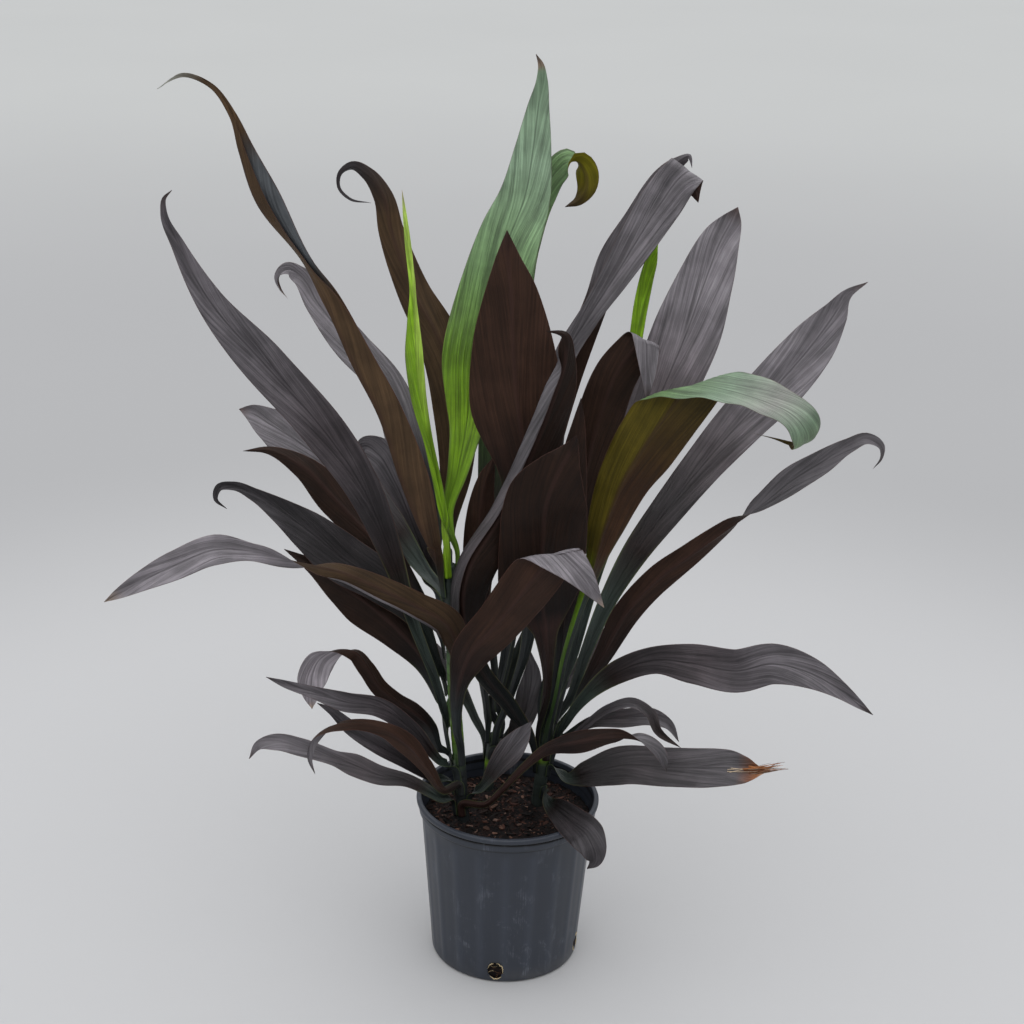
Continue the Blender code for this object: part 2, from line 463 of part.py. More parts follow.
def build_leaf(name, leaf, group):
    """One leaf: a grid laid over its surface, split into triangles and thickened to the blade."""
    rows, columns = leaf_rows(leaf)
    surface = leaf_surface(leaf, rows, columns)
    work = bmesh.new()
    bmesh.ops.create_grid(work, x_segments=columns, y_segments=rows, size=0.5)
    for vert in work.verts:
        column = round((vert.co.x + 0.5) * columns)
        row = round((vert.co.y + 0.5) * rows)
        vert.co = surface[row, column]
    bmesh.ops.triangulate(work, faces=work.faces[:], quad_method="FIXED")
    mesh = bpy.data.meshes.new(name)
    work.to_mesh(mesh)
    work.free()
    mesh.shade_smooth()
    finish = GREEN_LEAF if name in GREEN_LEAVES else PURPLE_LEAF
    if name in YELLOW_LEAVES:
        finish = YELLOW_LEAF
    item = add_object(name, mesh, group, finish)
    thicken = item.modifiers.new("blade", "SOLIDIFY")
    thicken.thickness = BLADE
    thicken.offset = 0.0
    return item


# Canes
def build_cane(name, group):
    """A round cane along its middle line, closed at both ends."""
    radius, points = CANES[name]
    curve = bpy.data.curves.new(name, "CURVE")
    curve.dimensions = "3D"
    curve.bevel_depth = radius * MM
    curve.bevel_resolution = 4
    curve.use_fill_caps = True
    spline = curve.splines.new("POLY")
    spline.points.add(len(points) - 1)
    for slot, point in zip(spline.points, points):
        slot.co = (*(Vector(point) * MM), 1.0)
    return add_object(name, curve, group, CANE_GREEN)


# Pot
def wall_radius(height):
    """The outside radius of the pot's plain wall at a height."""
    top = RIM_RADIUS - LIP_OVERHANG - COLLAR_STEP
    return FOOT_RADIUS + (top - FOOT_RADIUS) * height / POT_HEIGHT


def pot_profile():
    """The pot's section from the top of the lip down the outside, and back up the inside."""
    lip_foot = POT_HEIGHT - LIP_HEIGHT
    collar_top = lip_foot - GROOVE
    collar_foot = POT_HEIGHT - LIP_HEIGHT - COLLAR_HEIGHT
    collar = RIM_RADIUS - LIP_OVERHANG
    inner = wall_radius(POT_HEIGHT) - WALL
    outside = [
        (RIM_RADIUS - 3 * MM, POT_HEIGHT),
        (RIM_RADIUS - 0.8 * MM, POT_HEIGHT - 1 * MM),
        (RIM_RADIUS, POT_HEIGHT - 3 * MM),
        (RIM_RADIUS, lip_foot + 1.2 * MM),
        (RIM_RADIUS - 1.2 * MM, lip_foot),
        (collar - 1 * MM, lip_foot),
        (collar - 1 * MM, collar_top),
        (collar, collar_top - 0.6 * MM),
        (collar, collar_foot + 1 * MM),
        (wall_radius(collar_foot), collar_foot - 1 * MM),
        (wall_radius(2 * FOOT_ROUNDING), 2 * FOOT_ROUNDING),
        (wall_radius(FOOT_ROUNDING), FOOT_ROUNDING),
        (FOOT_RADIUS - 0.35 * FOOT_ROUNDING, 0.3 * FOOT_ROUNDING),
        (FOOT_RADIUS - FOOT_ROUNDING, 0.0),
        (0.0, 0.0),
    ]
    inside = [
        (0.0, WALL),
        (FOOT_RADIUS - FOOT_ROUNDING, WALL),
        (wall_radius(FOOT_ROUNDING) - WALL, FOOT_ROUNDING + 0.5 * MM),
        (inner, POT_HEIGHT - 1 * MM),
        (inner + 1 * MM, POT_HEIGHT),
    ]
    return outside + inside


def turned(name, profile, steps, group, finish):
    """A solid turned about Z from a profile that starts on its outer side, top to bottom."""
    mesh = bpy.data.meshes.new(name)
    points = [(radius, 0.0, height) for radius, height in profile]
    closed = profile[0][0] > 0
    edges = [(i, i + 1) for i in range(len(points) - 1)]
    if closed:
        edges.append((len(points) - 1, 0))
    mesh.from_pydata(points, edges, [])
    item = add_object(name, mesh, group, finish)
    screw = item.modifiers.new("turn", "SCREW")
    screw.axis = "Z"
    screw.steps = steps
    screw.render_steps = steps
    screw.use_merge_vertices = True
    screw.merge_threshold = 0.00001
    screw.use_smooth_shade = True
    return item


def cut(item, cutter):
    """Take a cutter away from an object."""
    boolean = item.modifiers.new("cut_" + cutter.name, "BOOLEAN")
    boolean.operation = "DIFFERENCE"
    boolean.solver = "EXACT"
    boolean.object = cutter


def drain_cutter(index, angle, cutters):
    """An upright oval bar that points out through the wall low down."""
    work = bmesh.new()
    bmesh.ops.create_cone(work, cap_ends=True, segments=14, radius1=0.5, radius2=0.5, depth=1.0)
    mesh = bpy.data.meshes.new(f"drain_cutter_{index}")
    angle = math.radians(angle)
    outward = Vector((math.cos(angle), math.sin(angle), 0.0))
    along = Vector((-math.sin(angle), math.cos(angle), 0.0))
    upward = Vector((0.0, 0.0, 1.0))
    middle = outward * (FOOT_RADIUS + 2 * MM) + upward * DRAIN_MIDDLE
    for vert in work.verts:
        x, y, z = vert.co
        vert.co = middle + along * (x * DRAIN_WIDTH) + upward * (y * DRAIN_TALL) + outward * (z * 12 * MM)
    work.to_mesh(mesh)
    work.free()
    cutter = add_object(f"drain_cutter_{index}", mesh, cutters)
    cutter.hide_render = True
    cutter.display_type = "WIRE"
    return cutter


def build_pot(group, cutters):
    """The pot with its rolled lip, collar and four drain holes low on the wall."""
    pot = turned("pot", pot_profile(), POT_STEPS, group, POT_PLASTIC)
    for index, angle in enumerate(DRAIN_ANGLES):
        cut(pot, drain_cutter(index, angle, cutters))
    return pot


# Soil
def soil_height(x, y, radius):
    """The height of the soil's top: a low crown with lumps that follow a formula."""
    share = math.hypot(x, y) / radius
    lumps = math.sin(310 * x + 1.3) * math.sin(270 * y + 0.4) + 0.6 * math.sin(190 * x - 240 * y)
    return SOIL_LEVEL + SOIL_CROWN * (1 - share ** 2) + SOIL_LUMP * lumps * (1 - share ** 4)


def build_soil(group, cutters):
    """The root ball: it fills the pot to just below the rim, with a plain hole for each cane."""
    side = wall_radius(SOIL_LEVEL) - WALL - 2 * CLEARANCE - (wall_radius(SOIL_LEVEL) * 0.0026)
    foot = wall_radius(2 * FOOT_ROUNDING) - WALL - 2 * CLEARANCE - (FOOT_RADIUS * 0.0026)
    bottom = WALL + 2 * CLEARANCE
    profile = [(side * (1 - i / SOIL_RINGS), SOIL_LEVEL) for i in range(SOIL_RINGS, -1, -1)]
    profile[0] = (0.0, SOIL_LEVEL)
    profile += [(foot, 2 * FOOT_ROUNDING), (foot - FOOT_ROUNDING, bottom), (0.0, bottom)]
    soil = turned("soil", profile, SOIL_STEPS, group, SOIL_BARK)
    evaluated = soil.evaluated_get(bpy.context.evaluated_depsgraph_get())
    mesh = bpy.data.meshes.new_from_object(evaluated)
    soil.modifiers.clear()
    soil.data = mesh
    for vert in mesh.vertices:
        if vert.co.z > SOIL_LEVEL - CLEARANCE:
            vert.co.z = soil_height(vert.co.x, vert.co.y, side)
    for name, (radius, points) in CANES.items():
        cut(soil, cane_cutter(name, radius, points, cutters))
    return soil


def cane_cutter(name, radius, points, cutters):
    """A straight round hole for the foot of a cane, open at the soil's top."""
    low = Vector(points[0]) * MM
    high = Vector(points[1]) * MM
    axis = (high - low).normalized()
    work = bmesh.new()
    wide = (radius * MM + CLEARANCE) / math.cos(math.pi / 16)
    deep = (high - low).length + 60 * MM
    bmesh.ops.create_cone(work, cap_ends=True, segments=16, radius1=wide, radius2=wide, depth=deep)
    turn = axis.to_track_quat("Z", "Y").to_matrix()
    start = low - axis * CLEARANCE
    for vert in work.verts:
        vert.co = start + turn @ (vert.co + Vector((0.0, 0.0, deep / 2)))
    mesh = bpy.data.meshes.new(name + "_hole")
    work.to_mesh(mesh)
    work.free()
    cutter = add_object(name + "_hole", mesh, cutters)
    cutter.hide_render = True
    cutter.display_type = "WIRE"
    return cutter


def main():
    """Build the whole plant."""
    clear_scene()
    group = make_collection(COLLECTION)
    cutters = make_collection(CUTTERS)
    build_pot(group, cutters)
    build_soil(group, cutters)
    for name in CANES:
        build_cane(name, group)
    for name, leaf in LEAVES.items():
        build_leaf(name, leaf, group)


main()
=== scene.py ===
"""Looks of the ti plant in its nursery pot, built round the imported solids.

Metres, +Z up, in the same frame as the solids. Each leaf follows the same route as its solid, in a
far finer mesh: a thin two-sided blade with a midrib, rippled margins and a channelled stalk.
"""

import math

import bmesh
import bpy
import numpy as np
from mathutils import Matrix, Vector, noise


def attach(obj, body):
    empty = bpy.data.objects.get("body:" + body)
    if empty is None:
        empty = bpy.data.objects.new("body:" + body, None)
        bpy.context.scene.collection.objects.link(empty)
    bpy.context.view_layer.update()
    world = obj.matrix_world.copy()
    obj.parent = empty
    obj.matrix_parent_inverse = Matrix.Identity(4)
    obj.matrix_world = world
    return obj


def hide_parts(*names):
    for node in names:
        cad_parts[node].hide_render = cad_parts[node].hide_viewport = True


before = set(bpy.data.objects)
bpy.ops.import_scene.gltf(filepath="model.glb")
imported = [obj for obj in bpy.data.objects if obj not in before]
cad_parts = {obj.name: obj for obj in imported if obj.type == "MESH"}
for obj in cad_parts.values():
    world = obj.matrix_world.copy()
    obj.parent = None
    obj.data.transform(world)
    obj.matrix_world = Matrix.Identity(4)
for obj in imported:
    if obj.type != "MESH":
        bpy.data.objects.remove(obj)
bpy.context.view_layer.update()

MM = 0.001

# Pot, as in the solids
RIM_RADIUS = 127 * MM
FOOT_RADIUS = 103 * MM
POT_HEIGHT = 240 * MM
WALL = 2.0 * MM
LIP_HEIGHT = 8 * MM
LIP_OVERHANG = 3.5 * MM
COLLAR_HEIGHT = 13 * MM
COLLAR_STEP = 1.5 * MM
GROOVE = 2 * MM
FOOT_ROUNDING = 5 * MM
DRAIN_WIDTH = 22 * MM
DRAIN_TALL = 27 * MM
DRAIN_MIDDLE = 19 * MM
DRAIN_ANGLES = (-96, -14, 75, 165)
DRAIN_RADIUS = FOOT_RADIUS + 2 * MM
DRAIN_FIBRES = 26
LIP_BEAD = 3.2 * MM
POT_STEPS = 288
WALL_ROWS = 24
FLUTES = 20
FLUTE_DEPTH = 1.1 * MM

# Soil
SOIL_LEVEL = 207 * MM
SOIL_CROWN = 7 * MM
SOIL_LUMP = 1.5 * MM
SOIL_SHY = 0.0026
SOIL_RINGS = 90
SOIL_ROWS = 40
SOIL_STEPS = 220
CHIPS = 2300

# Everything that touches keeps this much air
CLEARANCE = 0.3 * MM

# The viewing point, in front of the plant and above it
FRAME_PIXELS = 1024
FOCAL_PIXELS = 2000
EYE = Vector((-0.004, -2.452, 1.623))
LOOK_DOWN = math.radians(21.4)
LEAN = math.radians(1.45)

# Leaves, as in the solids
BLADE = 1.0 * MM
STATION_PULL = 0.7
SHEATH_HALF = 5.5 * MM
SHEATH_RISE = 22 * MM
SHEATH_SHARE = 0.3
SHEATH_LEAN = 0.12
CHANNEL_HALF = 11 * MM
CHANNEL_FOLD = 45
FLAT_HALF = 5 * MM

# Leaves, finer than the solids: rows along a leaf, places across half of it, thicknesses and margins
LEAF_ROWS = 110
BEND_ROWS = 420
BEND_NEAR = 10 * MM
ACROSS = (0.0, 0.03, 0.07, 0.13, 0.22, 0.33, 0.45, 0.58, 0.71, 0.83, 0.93, 1.0)
BLADE_BEGINS = 0.55
TIP_HALF = 0.25 * MM
SHEET = 0.55 * MM
CREASE = 0.10
STALK_THICK = 3.2 * MM
MIDRIB_THICK = 1.1 * MM
MIDRIB_WIDE = 2.2 * MM
RIPPLE = 0.05
RIPPLE_RUNS = (55, 85)
ROLL_TURN = 2.7
ROLL_AIR = 1.2 * MM
ROLL_EASE = 0.12
CLOSE_EASE = 0.15
CLOSED_SPREAD = 0.22
VEIN_SLANT = 0.09

# Ring scars on the canes
SCAR_SPACING = 17 * MM
SCAR_HALF = 1.1 * MM

# Canes: radius and the points of the middle line from below the soil to the crown, millimetres
CANES = {
    "cane_left": (9.0, [(-52, -22, 120), (-60, -24, 206), (-76, -18, 400), (-86, -12, 590)]),
    "cane_right": (9.5, [(36, 26, 120), (42, 24, 206), (50, 22, 300), (53, 23, 345)]),
    "cane_back": (8.5, [(-31, 64, 120), (-29, 66, 206), (-25, 68, 260), (-22, 69, 296)]),
}

# Each leaf: its cane, the height of its base and the side of the cane that it grows on (0 is +X and
# 90 is away from the viewer), how deep it is folded along the midrib, the height and the number of its
# waves, and its stations from stalk to tip. A station is pixel across, pixel down, depth in
# millimetres, half width in millimetres and turn in degrees (0 shows the upper face, 180 the back).
LEAVES = {
    "leaf_tall_twisted": ("cane_left", 545, 215, 16, (0.06, 2.0), [
        (434, 548, -38, 10, 180), (412, 472, -52, 19, 180), (389, 410, -62, 16, 180),
        (363, 361, -72, 15, 185), (334, 304, -82, 12, 200), (307, 262, -90, 11, 245),
        (268, 200, -98, 17, 212), (246, 150, -104, 10, 205), (232, 114, -108, 4.5, 200),
        (210, 85, -112, 3, 195), (183, 75, -114, 2.5, 190), (157, 89, -116, 0.8, 190)]),
    "leaf_left_upright": ("cane_left", 305, 190, 18, (0.05, 2.0), [
        (439, 692, -62, 6, 0), (413, 621, -84, 8, 0), (388, 546, -75, 16, 0), (359, 481, -98, 23, 0),
        (321, 427, -104, 27, 0), (266, 366, -112, 27, 0), (209, 300, -118, 17, 0),
        (179, 246, -120, 8.5, 5), (164, 212, -118, 4, 10), (164, 199, -116, 2.5, 10),
        (172, 190, -114, 0.8, 10)]),
    "leaf_left_curled_tip": ("cane_left", 570, 190, 14, (0.05, 2.0), [
        (432, 520, 20, 11, 0), (416, 450, 50, 19, 0), (386, 382, 78, 22, 0), (352, 346, 92, 23, 0),
        (318, 303, 104, 17, 0), (299, 275, 108, 12, 0), (287, 270, 106, 9, -20), (279, 277, 102, 6, -60),
        (281, 288, 98, 4, -80), (288, 299, 94, 0.8, -80)]),
    "leaf_hooked": ("cane_left", 575, 95, 16, (0.05, 2.0), [
        (447, 530, 26, 11, 180), (456, 470, 62, 22, 180), (454, 400, 92, 30, 180),
        (439, 340, 118, 28, 180), (413, 290, 140, 22, 180), (391, 230, 158, 17, 180),
        (383, 196, 164, 13, 180), (368, 175, 164, 9, 190), (352, 167, 158, 6, 210),
        (341, 174, 152, 4, 225), (340, 187, 148, 3.5, 235), (350, 198, 144, 3, 235),
        (371, 203, 138, 0.8, 235)]),
    "leaf_young_yellow": ("cane_left", 575, 262, 30, (0.0, 1.0), [
        (441, 500, -30, 6, 5), (430, 447, -30, 6, 5), (420, 400, -28, 10, 10), (416, 358, -26, 12, 15),
        (414, 322, -22, 8, 10), (413, 289, -18, 4, 10), (409, 250, -14, 4, 10), (405, 215, -10, 2.5, 10),
        (402, 190, -6, 0.8, 10)]),
    "leaf_tall_green": ("cane_left", 580, 20, 14, (0.05, 2.0), [
        (448, 516, 8, 7, 0), (458, 470, 18, 14, 0), (466, 428, 32, 22, 0), (469, 400, 42, 31, 0),
        (474, 357, 58, 42, 0), (485, 318, 74, 45, 0), (497, 278, 88, 44, 0), (510, 236, 102, 40, 0),
        (524, 200, 112, 34, 0), (533, 150, 122, 24, 0), (538, 110, 128, 15, 0), (542, 78, 130, 7, 0),
        (541, 65, 129, 4, 0), (536, 54, 128, 0.8, 0)]),
    "leaf_green_curled_tip": ("cane_back", 294, 60, 12, (0.03, 1.5), [
        (492, 712, 78, 5, 0), (495, 678, 84, 5, 0), (491, 640, 90, 6, 0), (485, 598, 98, 8, 0),
        (490, 530, 120, 17, 0), (502, 400, 176, 30, 0), (508, 310, 190, 31, 0), (520, 242, 196, 28, 0),
        (541, 196, 196, 20, 0), (556, 172, 192, 18, 8), (568, 162, 189, 18, 30), (578, 162, 185, 18, 120),
        (585, 172, 181, 17, 155), (586, 188, 176, 13, 170), (579, 200, 172, 7, 175),
        (565, 207, 168, 0.8, 175)]),
    "leaf_bright_green": ("cane_right", 305, 120, 24, (0.0, 1.0), [
        (566, 640, 75, 7, 0), (590, 500, 124, 9, 0), (619, 420, 156, 9, 0), (634, 350, 178, 9, 0),
        (642, 300, 198, 10, 0), (650, 266, 206, 9, 0), (658, 244, 210, 0.8, 0)]),
    "leaf_centre_broad": ("cane_back", 284, 285, 12, (0.04, 1.5), [
        (507, 706, 44, 5, 180), (516, 680, 34, 6, 180), (525, 652, 20, 8, 180), (531, 600, -2, 13, 180),
        (532, 540, -12, 23, 180), (527, 469, -12, 38, 180), (517, 402, -6, 61, 180),
        (513, 345, 2, 52, 180), (511, 292, 12, 34, 180), (508, 258, 18, 16, 180),
        (507, 230, 22, 0.8, 180)]),
    "leaf_centre_folded": ("cane_right", 265, 200, 26, (0.03, 1.5), [
        (512, 710, -8, 11, 185), (479, 667, -40, 12, 185), (464, 622, -46, 28, 180),
        (469, 570, -70, 34, 180), (504, 512, -66, 32, 175), (534, 450, -58, 33, 168),
        (555, 395, -54, 29, 163), (566, 357, -52, 15, 160), (565, 335, -52, 5, 170),
        (546, 331, -52, 0.8, 180)]),
    "leaf_centre_lower": ("cane_right", 300, 200, 10, (0.04, 1.5), [
        (547, 688, -16, 6, 180), (546, 640, -44, 15, 180), (541, 582, -72, 56, 180),
        (543, 540, -86, 56, 180), (547, 502, -96, 52, 180), (560, 470, -100, 30, 180),
        (570, 451, -100, 12, 180), (577, 435, -100, 0.8, 180)]),
    "leaf_centre_strip": ("cane_right", 330, 270, 12, (0.03, 1.0), [
        (561, 650, -10, 7, 180), (566, 570, -30, 22, 180), (570, 500, -70, 21, 180),
        (575, 450, -80, 14, 180), (579, 420, -80, 7, 180), (581, 398, -80, 0.8, 180)]),
    "leaf_back_arched": ("cane_right", 343, 60, 18, (0.03, 1.5), [
        (566, 620, 44, 8, 180), (580, 500, 60, 24, 180), (599, 420, 72, 31, 180), (616, 375, 78, 29, 180),
        (636, 346, 80, 23, 180), (655, 323, 80, 18, 180), (673, 303, 80, 11, 180),
        (690, 284, 80, 0.8, 180)]),
    "leaf_right_folded_tip": ("cane_right", 343, 170, 14, (0.04, 2.0), [
        (555, 640, 70, 7, 0), (548, 540, 120, 14, 0), (552, 430, 150, 18, 0), (566, 354, 166, 15, 0),
        (588, 318, 172, 15, 0), (614, 278, 178, 20, 0), (638, 239, 182, 26, 0), (661, 203, 184, 29, 0),
        (683, 175, 184, 26, 0), (705, 164, 184, 15, 0), (726, 159, 184, 0.8, 0)]),
    "leaf_right_hidden": ("cane_back", 294, -10, 14, (0.04, 2.0), [
        (498, 700, 70, 5, 180), (504, 660, 78, 6, 180), (513, 610, 100, 9, 180), (540, 480, 160, 17, 180),
        (572, 365, 191, 19, 180), (598, 298, 209, 17, 180), (612, 258, 215, 18, 180),
        (636, 220, 219, 17, 180), (660, 182, 221, 15, 180), (676, 163, 217, 9, 200),
        (690, 156, 209, 4, 220), (692, 168, 205, 0.8, 220)]),
    "leaf_right_broad": ("cane_right", 343, -10, 12, (0.05, 2.0), [
        (575, 650, 42, 6.5, 0), (598, 560, 70, 12, 0), (628, 470, 98, 28, 0), (656, 405, 118, 42, 0),
        (685, 337, 134, 46, 0), (706, 279, 144, 37, 0), (721, 240, 150, 26, 0), (732, 220, 152, 14, 0),
        (738, 207, 154, 0.8, 0)]),
    "leaf_right_outer": ("cane_right", 314, 40, 12, (0.05, 2.5), [
        (569, 700, 40, 6, 0), (585, 655, 24, 8, 0), (608, 600, 20, 12, 0), (637, 550, 16, 18, 0),
        (667, 510, 12, 22, 0), (703, 465, 8, 26, 0), (740, 423, 4, 31, 0), (782, 380, 0, 34, 0),
        (812, 345, -4, 30, 0), (834, 315, -8, 18, 0), (847, 295, -10, 7, 5), (868, 282, -14, 0.8, 10)]),
    "leaf_olive_folded": ("cane_right", 305, 275, 14, (0.04, 1.5), [
        (556, 700, -4, 4.5, 180), (565, 656, -30, 5.0, 180), (577, 616, -42, 6, 180),
        (592, 572, -40, 11, 180), (606, 525, -52, 25, 180), (623, 482, -66, 34, 180),
        (645, 446, -80, 41, 180), (664, 418, -88, 42, 180), (685, 389, -94, 42, 180),
        (711, 352, -98, 37, 180), (733, 318, -102, 33, 180), (750, 284, -106, 28, 180),
        (764, 256, -110, 26, 180), (777, 230, -113, 22, 180), (789, 206, -116, 13, 180),
        (800, 184, -118, 5, 180), (808, 168, -120, 2, 180), (816, 150, -122, 0.8, 180)]),
    "leaf_right_long": ("cane_right", 304, 345, 14, (0.05, 2.0), [
        (572, 712, 6, 6, 180), (586, 684, -6, 8, 180), (603, 655, -16, 13, 180), (628, 611, -30, 18, 180),
        (657, 580, -42, 18, 178), (691, 555, -54, 15, 165), (728, 529, -66, 12, 130),
        (762, 505, -76, 13, 40), (793, 480, -84, 17, 10), (822, 462, -90, 15, 0), (848, 446, -94, 9.5, 0),
        (867, 439, -94, 7, 10), (880, 447, -92, 5, 40), (880, 459, -90, 3, 60),
        (873, 469, -90, 0.8, 60)]),
    "leaf_right_waved": ("cane_right", 275, 345, 12, (0.1, 2.5), [
        (570, 716, -10, 6, 0), (588, 694, -28, 9, 0), (622, 670, -50, 16, 0), (656, 660, -68, 18, 0),
        (695, 664, -92, 26, 0), (735, 671, -114, 28, 0), (775, 664, -134, 26, 0), (810, 673, -150, 20, 0),
        (840, 690, -162, 11, 0), (860, 705, -168, 5, 0), (873, 715, -172, 0.8, 0)]),
    "leaf_burnt_tip": ("cane_right", 262, 325, 12, (0.05, 1.5), [
        (568, 778, -16, 7, 0), (590, 773, -44, 18, 0), (625, 765, -66, 26, 0), (665, 767, -90, 26, 0),
        (700, 768, -110, 26, 0), (728, 768, -127, 24, 0), (745, 770, -136, 18, 0), (756, 771, -140, 10, 0),
        (763, 771, -143, 4, 0), (770, 770, -146, 0.8, 0)]),
    "leaf_short_curled": ("cane_left", 222, 265, 16, (0.0, 1.0), [
        (486, 804, -60, 4.5, 180), (503, 789, -72, 4.5, 180), (523, 768, -82, 5.5, 180),
        (546, 750, -86, 8, 180), (580, 742, -92, 15, 178), (612, 738, -100, 11, 150),
        (640, 741, -106, 11, 60), (658, 752, -108, 9, 20), (667, 772, -108, 0.8, 10)]),
    "leaf_thin_arching": ("cane_right", 288, 285, 20, (0.0, 1.0), [
        (566, 742, -8, 4.5, 0), (584, 727, -18, 5, 0), (610, 708, -30, 6, 0), (634, 703, -40, 7, 0),
        (650, 713, -44, 7, 0), (658, 731, -44, 5.5, 0), (681, 748, -44, 0.8, 0)]),
    "leaf_small_right": ("cane_right", 278, 50, 14, (0.0, 1.0), [
        (568, 735, 18, 5, 0), (592, 722, 8, 8, 0), (625, 718, 0, 13, 0), (652, 717, -8, 12, 0),
        (668, 724, -14, 7, 0), (679, 742, -18, 0.8, 0)]),
    "leaf_over_rim": ("cane_right", 228, 300, 12, (0.05, 1.5), [
        (549, 803, -26, 8, 0), (559, 811, -62, 16, 0), (574, 824, -100, 22, 0), (587, 836, -130, 24, 0),
        (594, 850, -142, 17, 0), (595, 861, -142, 8, 0), (587, 869, -140, 0.8, 0)]),
    "leaf_left_level": ("cane_left", 372, 225, 14, (0.05, 2.0), [
        (456, 690, -46, 6.5, 180), (459, 656, -58, 12, 180), (447, 625, -76, 22, 180),
        (417, 607, -96, 19, 178), (384, 591, -112, 18, 172), (340, 572, -130, 14, 155),
        (296, 562, -146, 11, 70), (255, 552, -160, 11, 10), (214, 550, -170, 19, 0),
        (176, 565, -178, 18, 0), (140, 582, -184, 12, 0), (118, 594, -188, 6, 0),
        (104, 602, -190, 0.8, 0)]),
    "leaf_left_hook": ("cane_left", 400, 165, 14, (0.05, 1.5), [
        (438, 664, -10, 6, 0), (418, 620, 4, 14, 0), (383, 584, 20, 28, 0), (342, 558, 34, 33, 0),
        (310, 532, 46, 27, 0), (281, 511, 54, 17, 0), (255, 495, 60, 9, 0), (234, 486, 62, 6, 0),
        (219, 488, 62, 5, -10), (216, 499, 61, 3, -20), (227, 509, 60, 0.8, -20)]),
    "leaf_left_back_upper": ("cane_left", 510, 120, 12, (0.06, 1.5), [
        (424, 570, 45, 10, 0), (384, 518, 85, 24, 0), (340, 475, 124, 36, 0), (300, 443, 136, 36, 0),
        (268, 423, 141, 22, 0), (252, 413, 145, 12, 0), (239, 409, 147, 0.8, 0)]),
    "leaf_left_back_lower": ("cane_left", 455, 172, 12, (0.05, 1.5), [
        (424, 606, 12, 8, 180), (384, 552, 46, 20, 180), (336, 500, 76, 24, 180), (303, 467, 90, 16, 180),
        (266, 450, 100, 5, 180), (243, 451, 102, 0.8, 180)]),
    "leaf_left_shadow": ("cane_left", 352, 150, 16, (0.04, 1.5), [
        (440, 700, -22, 6, 180), (425, 662, -14, 16, 180), (398, 630, 0, 27, 180),
        (367, 603, 12, 34, 180), (341, 585, 20, 25, 180), (313, 566, 28, 11, 180),
        (284, 549, 34, 0.8, 180)]),
    "leaf_left_inner": ("cane_left", 504, 210, 12, (0.05, 1.5), [
        (432, 580, 42, 12, 0), (413, 525, 92, 24, 0), (394, 480, 120, 29, 0), (378, 454, 134, 24, 0),
        (366, 446, 142, 14, 10), (356, 452, 148, 0.8, 20)]),
    "leaf_behind_centre": ("cane_back", 286, 215, 14, (0.03, 1.0), [
        (487, 712, 58, 5, 180), (482, 676, 52, 6, 180), (477, 640, 46, 8, 180), (477, 600, 30, 16, 180),
        (479, 560, 16, 22, 180), (480, 520, 10, 19, 180), (486, 480, 6, 11, 180),
        (495, 455, 6, 0.8, 180)]),
    "leaf_front_centre": ("cane_left", 300, 292, 18, (0.06, 1.5), [
        (457, 728, -60, 6.5, 180), (458, 690, -80, 12, 180), (470, 655, -98, 26, 180),
        (499, 622, -116, 30, 178), (526, 588, -130, 33, 178), (550, 556, -138, 30, 180),
        (566, 519, -142, 18, 180), (574, 480, -144, 0.8, 180)]),
    "leaf_short_folded": ("cane_left", 232, 335, 34, (0.0, 1.0), [
        (483, 786, -42, 6, 0), (498, 765, -40, 13, 0), (511, 749, -38, 18, 0), (522, 735, -36, 13, 0),
        (532, 721, -34, 0.8, 0)]),
    "leaf_back_short": ("cane_back", 262, 270, 14, (0.03, 1.0), [
        (508, 742, 52, 6, 0), (521, 722, 48, 15, 0), (529, 695, 46, 18, 0), (532, 672, 46, 12, 0),
        (531, 652, 46, 0.8, 0)]),
    "leaf_left_curled": ("cane_left", 295, 165, 20, (0.0, 1.0), [
        (439, 748, -34, 6, 180), (430, 728, -36, 10, 180), (413, 712, -40, 13, 178),
        (396, 701, -42, 12, 175), (380, 687, -45, 12, 170), (368, 668, -48, 12, 158),
        (355, 652, -50, 12, 130), (337, 650, -52, 15, 75), (320, 659, -54, 21, 30),
        (312, 676, -55, 20, 10), (311, 692, -55, 12, 0), (312, 709, -54, 0.8, 0)]),
    "leaf_low_left_upper": ("cane_left", 268, 250, 14, (0.04, 2.0), [
        (438, 759, -58, 6, 0), (411, 729, -68, 11, 0), (378, 707, -78, 13, 0), (345, 702, -88, 13, 0),
        (312, 692, -96, 8, 0), (285, 684, -102, 5, 0), (266, 677, -106, 0.8, 0)]),
    "leaf_low_left_middle": ("cane_left", 252, 180, 14, (0.04, 2.0), [
        (431, 777, -42, 6, 0), (404, 760, -52, 10, 0), (378, 745, -60, 12, 0), (351, 728, -68, 10, 0),
        (330, 710, -74, 5, 0), (317, 703, -78, 0.8, 0)]),
    "leaf_low_left_hook": ("cane_left", 254, 268, 16, (0.0, 1.0), [
        (444, 790, -68, 6, 180), (426, 766, -88, 10, 180), (408, 745, -100, 14, 178),
        (384, 729, -110, 10, 168), (350, 723, -120, 8, 150), (327, 728, -128, 8, 100),
        (312, 741, -132, 7, 50), (309, 757, -134, 4, 30), (315, 774, -134, 0.8, 20)]),
    "leaf_low_left_lowest": ("cane_left", 222, 195, 12, (0.05, 2.0), [
        (440, 797, -58, 7, 0), (406, 780, -76, 9, 0), (379, 775, -88, 13, 0), (354, 765, -96, 15, 0),
        (331, 757, -102, 10, 0), (300, 747, -108, 12, 0), (276, 742, -113, 11, 0), (259, 745, -116, 6, 0),
        (249, 759, -118, 0.8, 0)]),
    "leaf_rear_upper_left": ("cane_left", 495, 60, 12, (0.05, 2.0), [
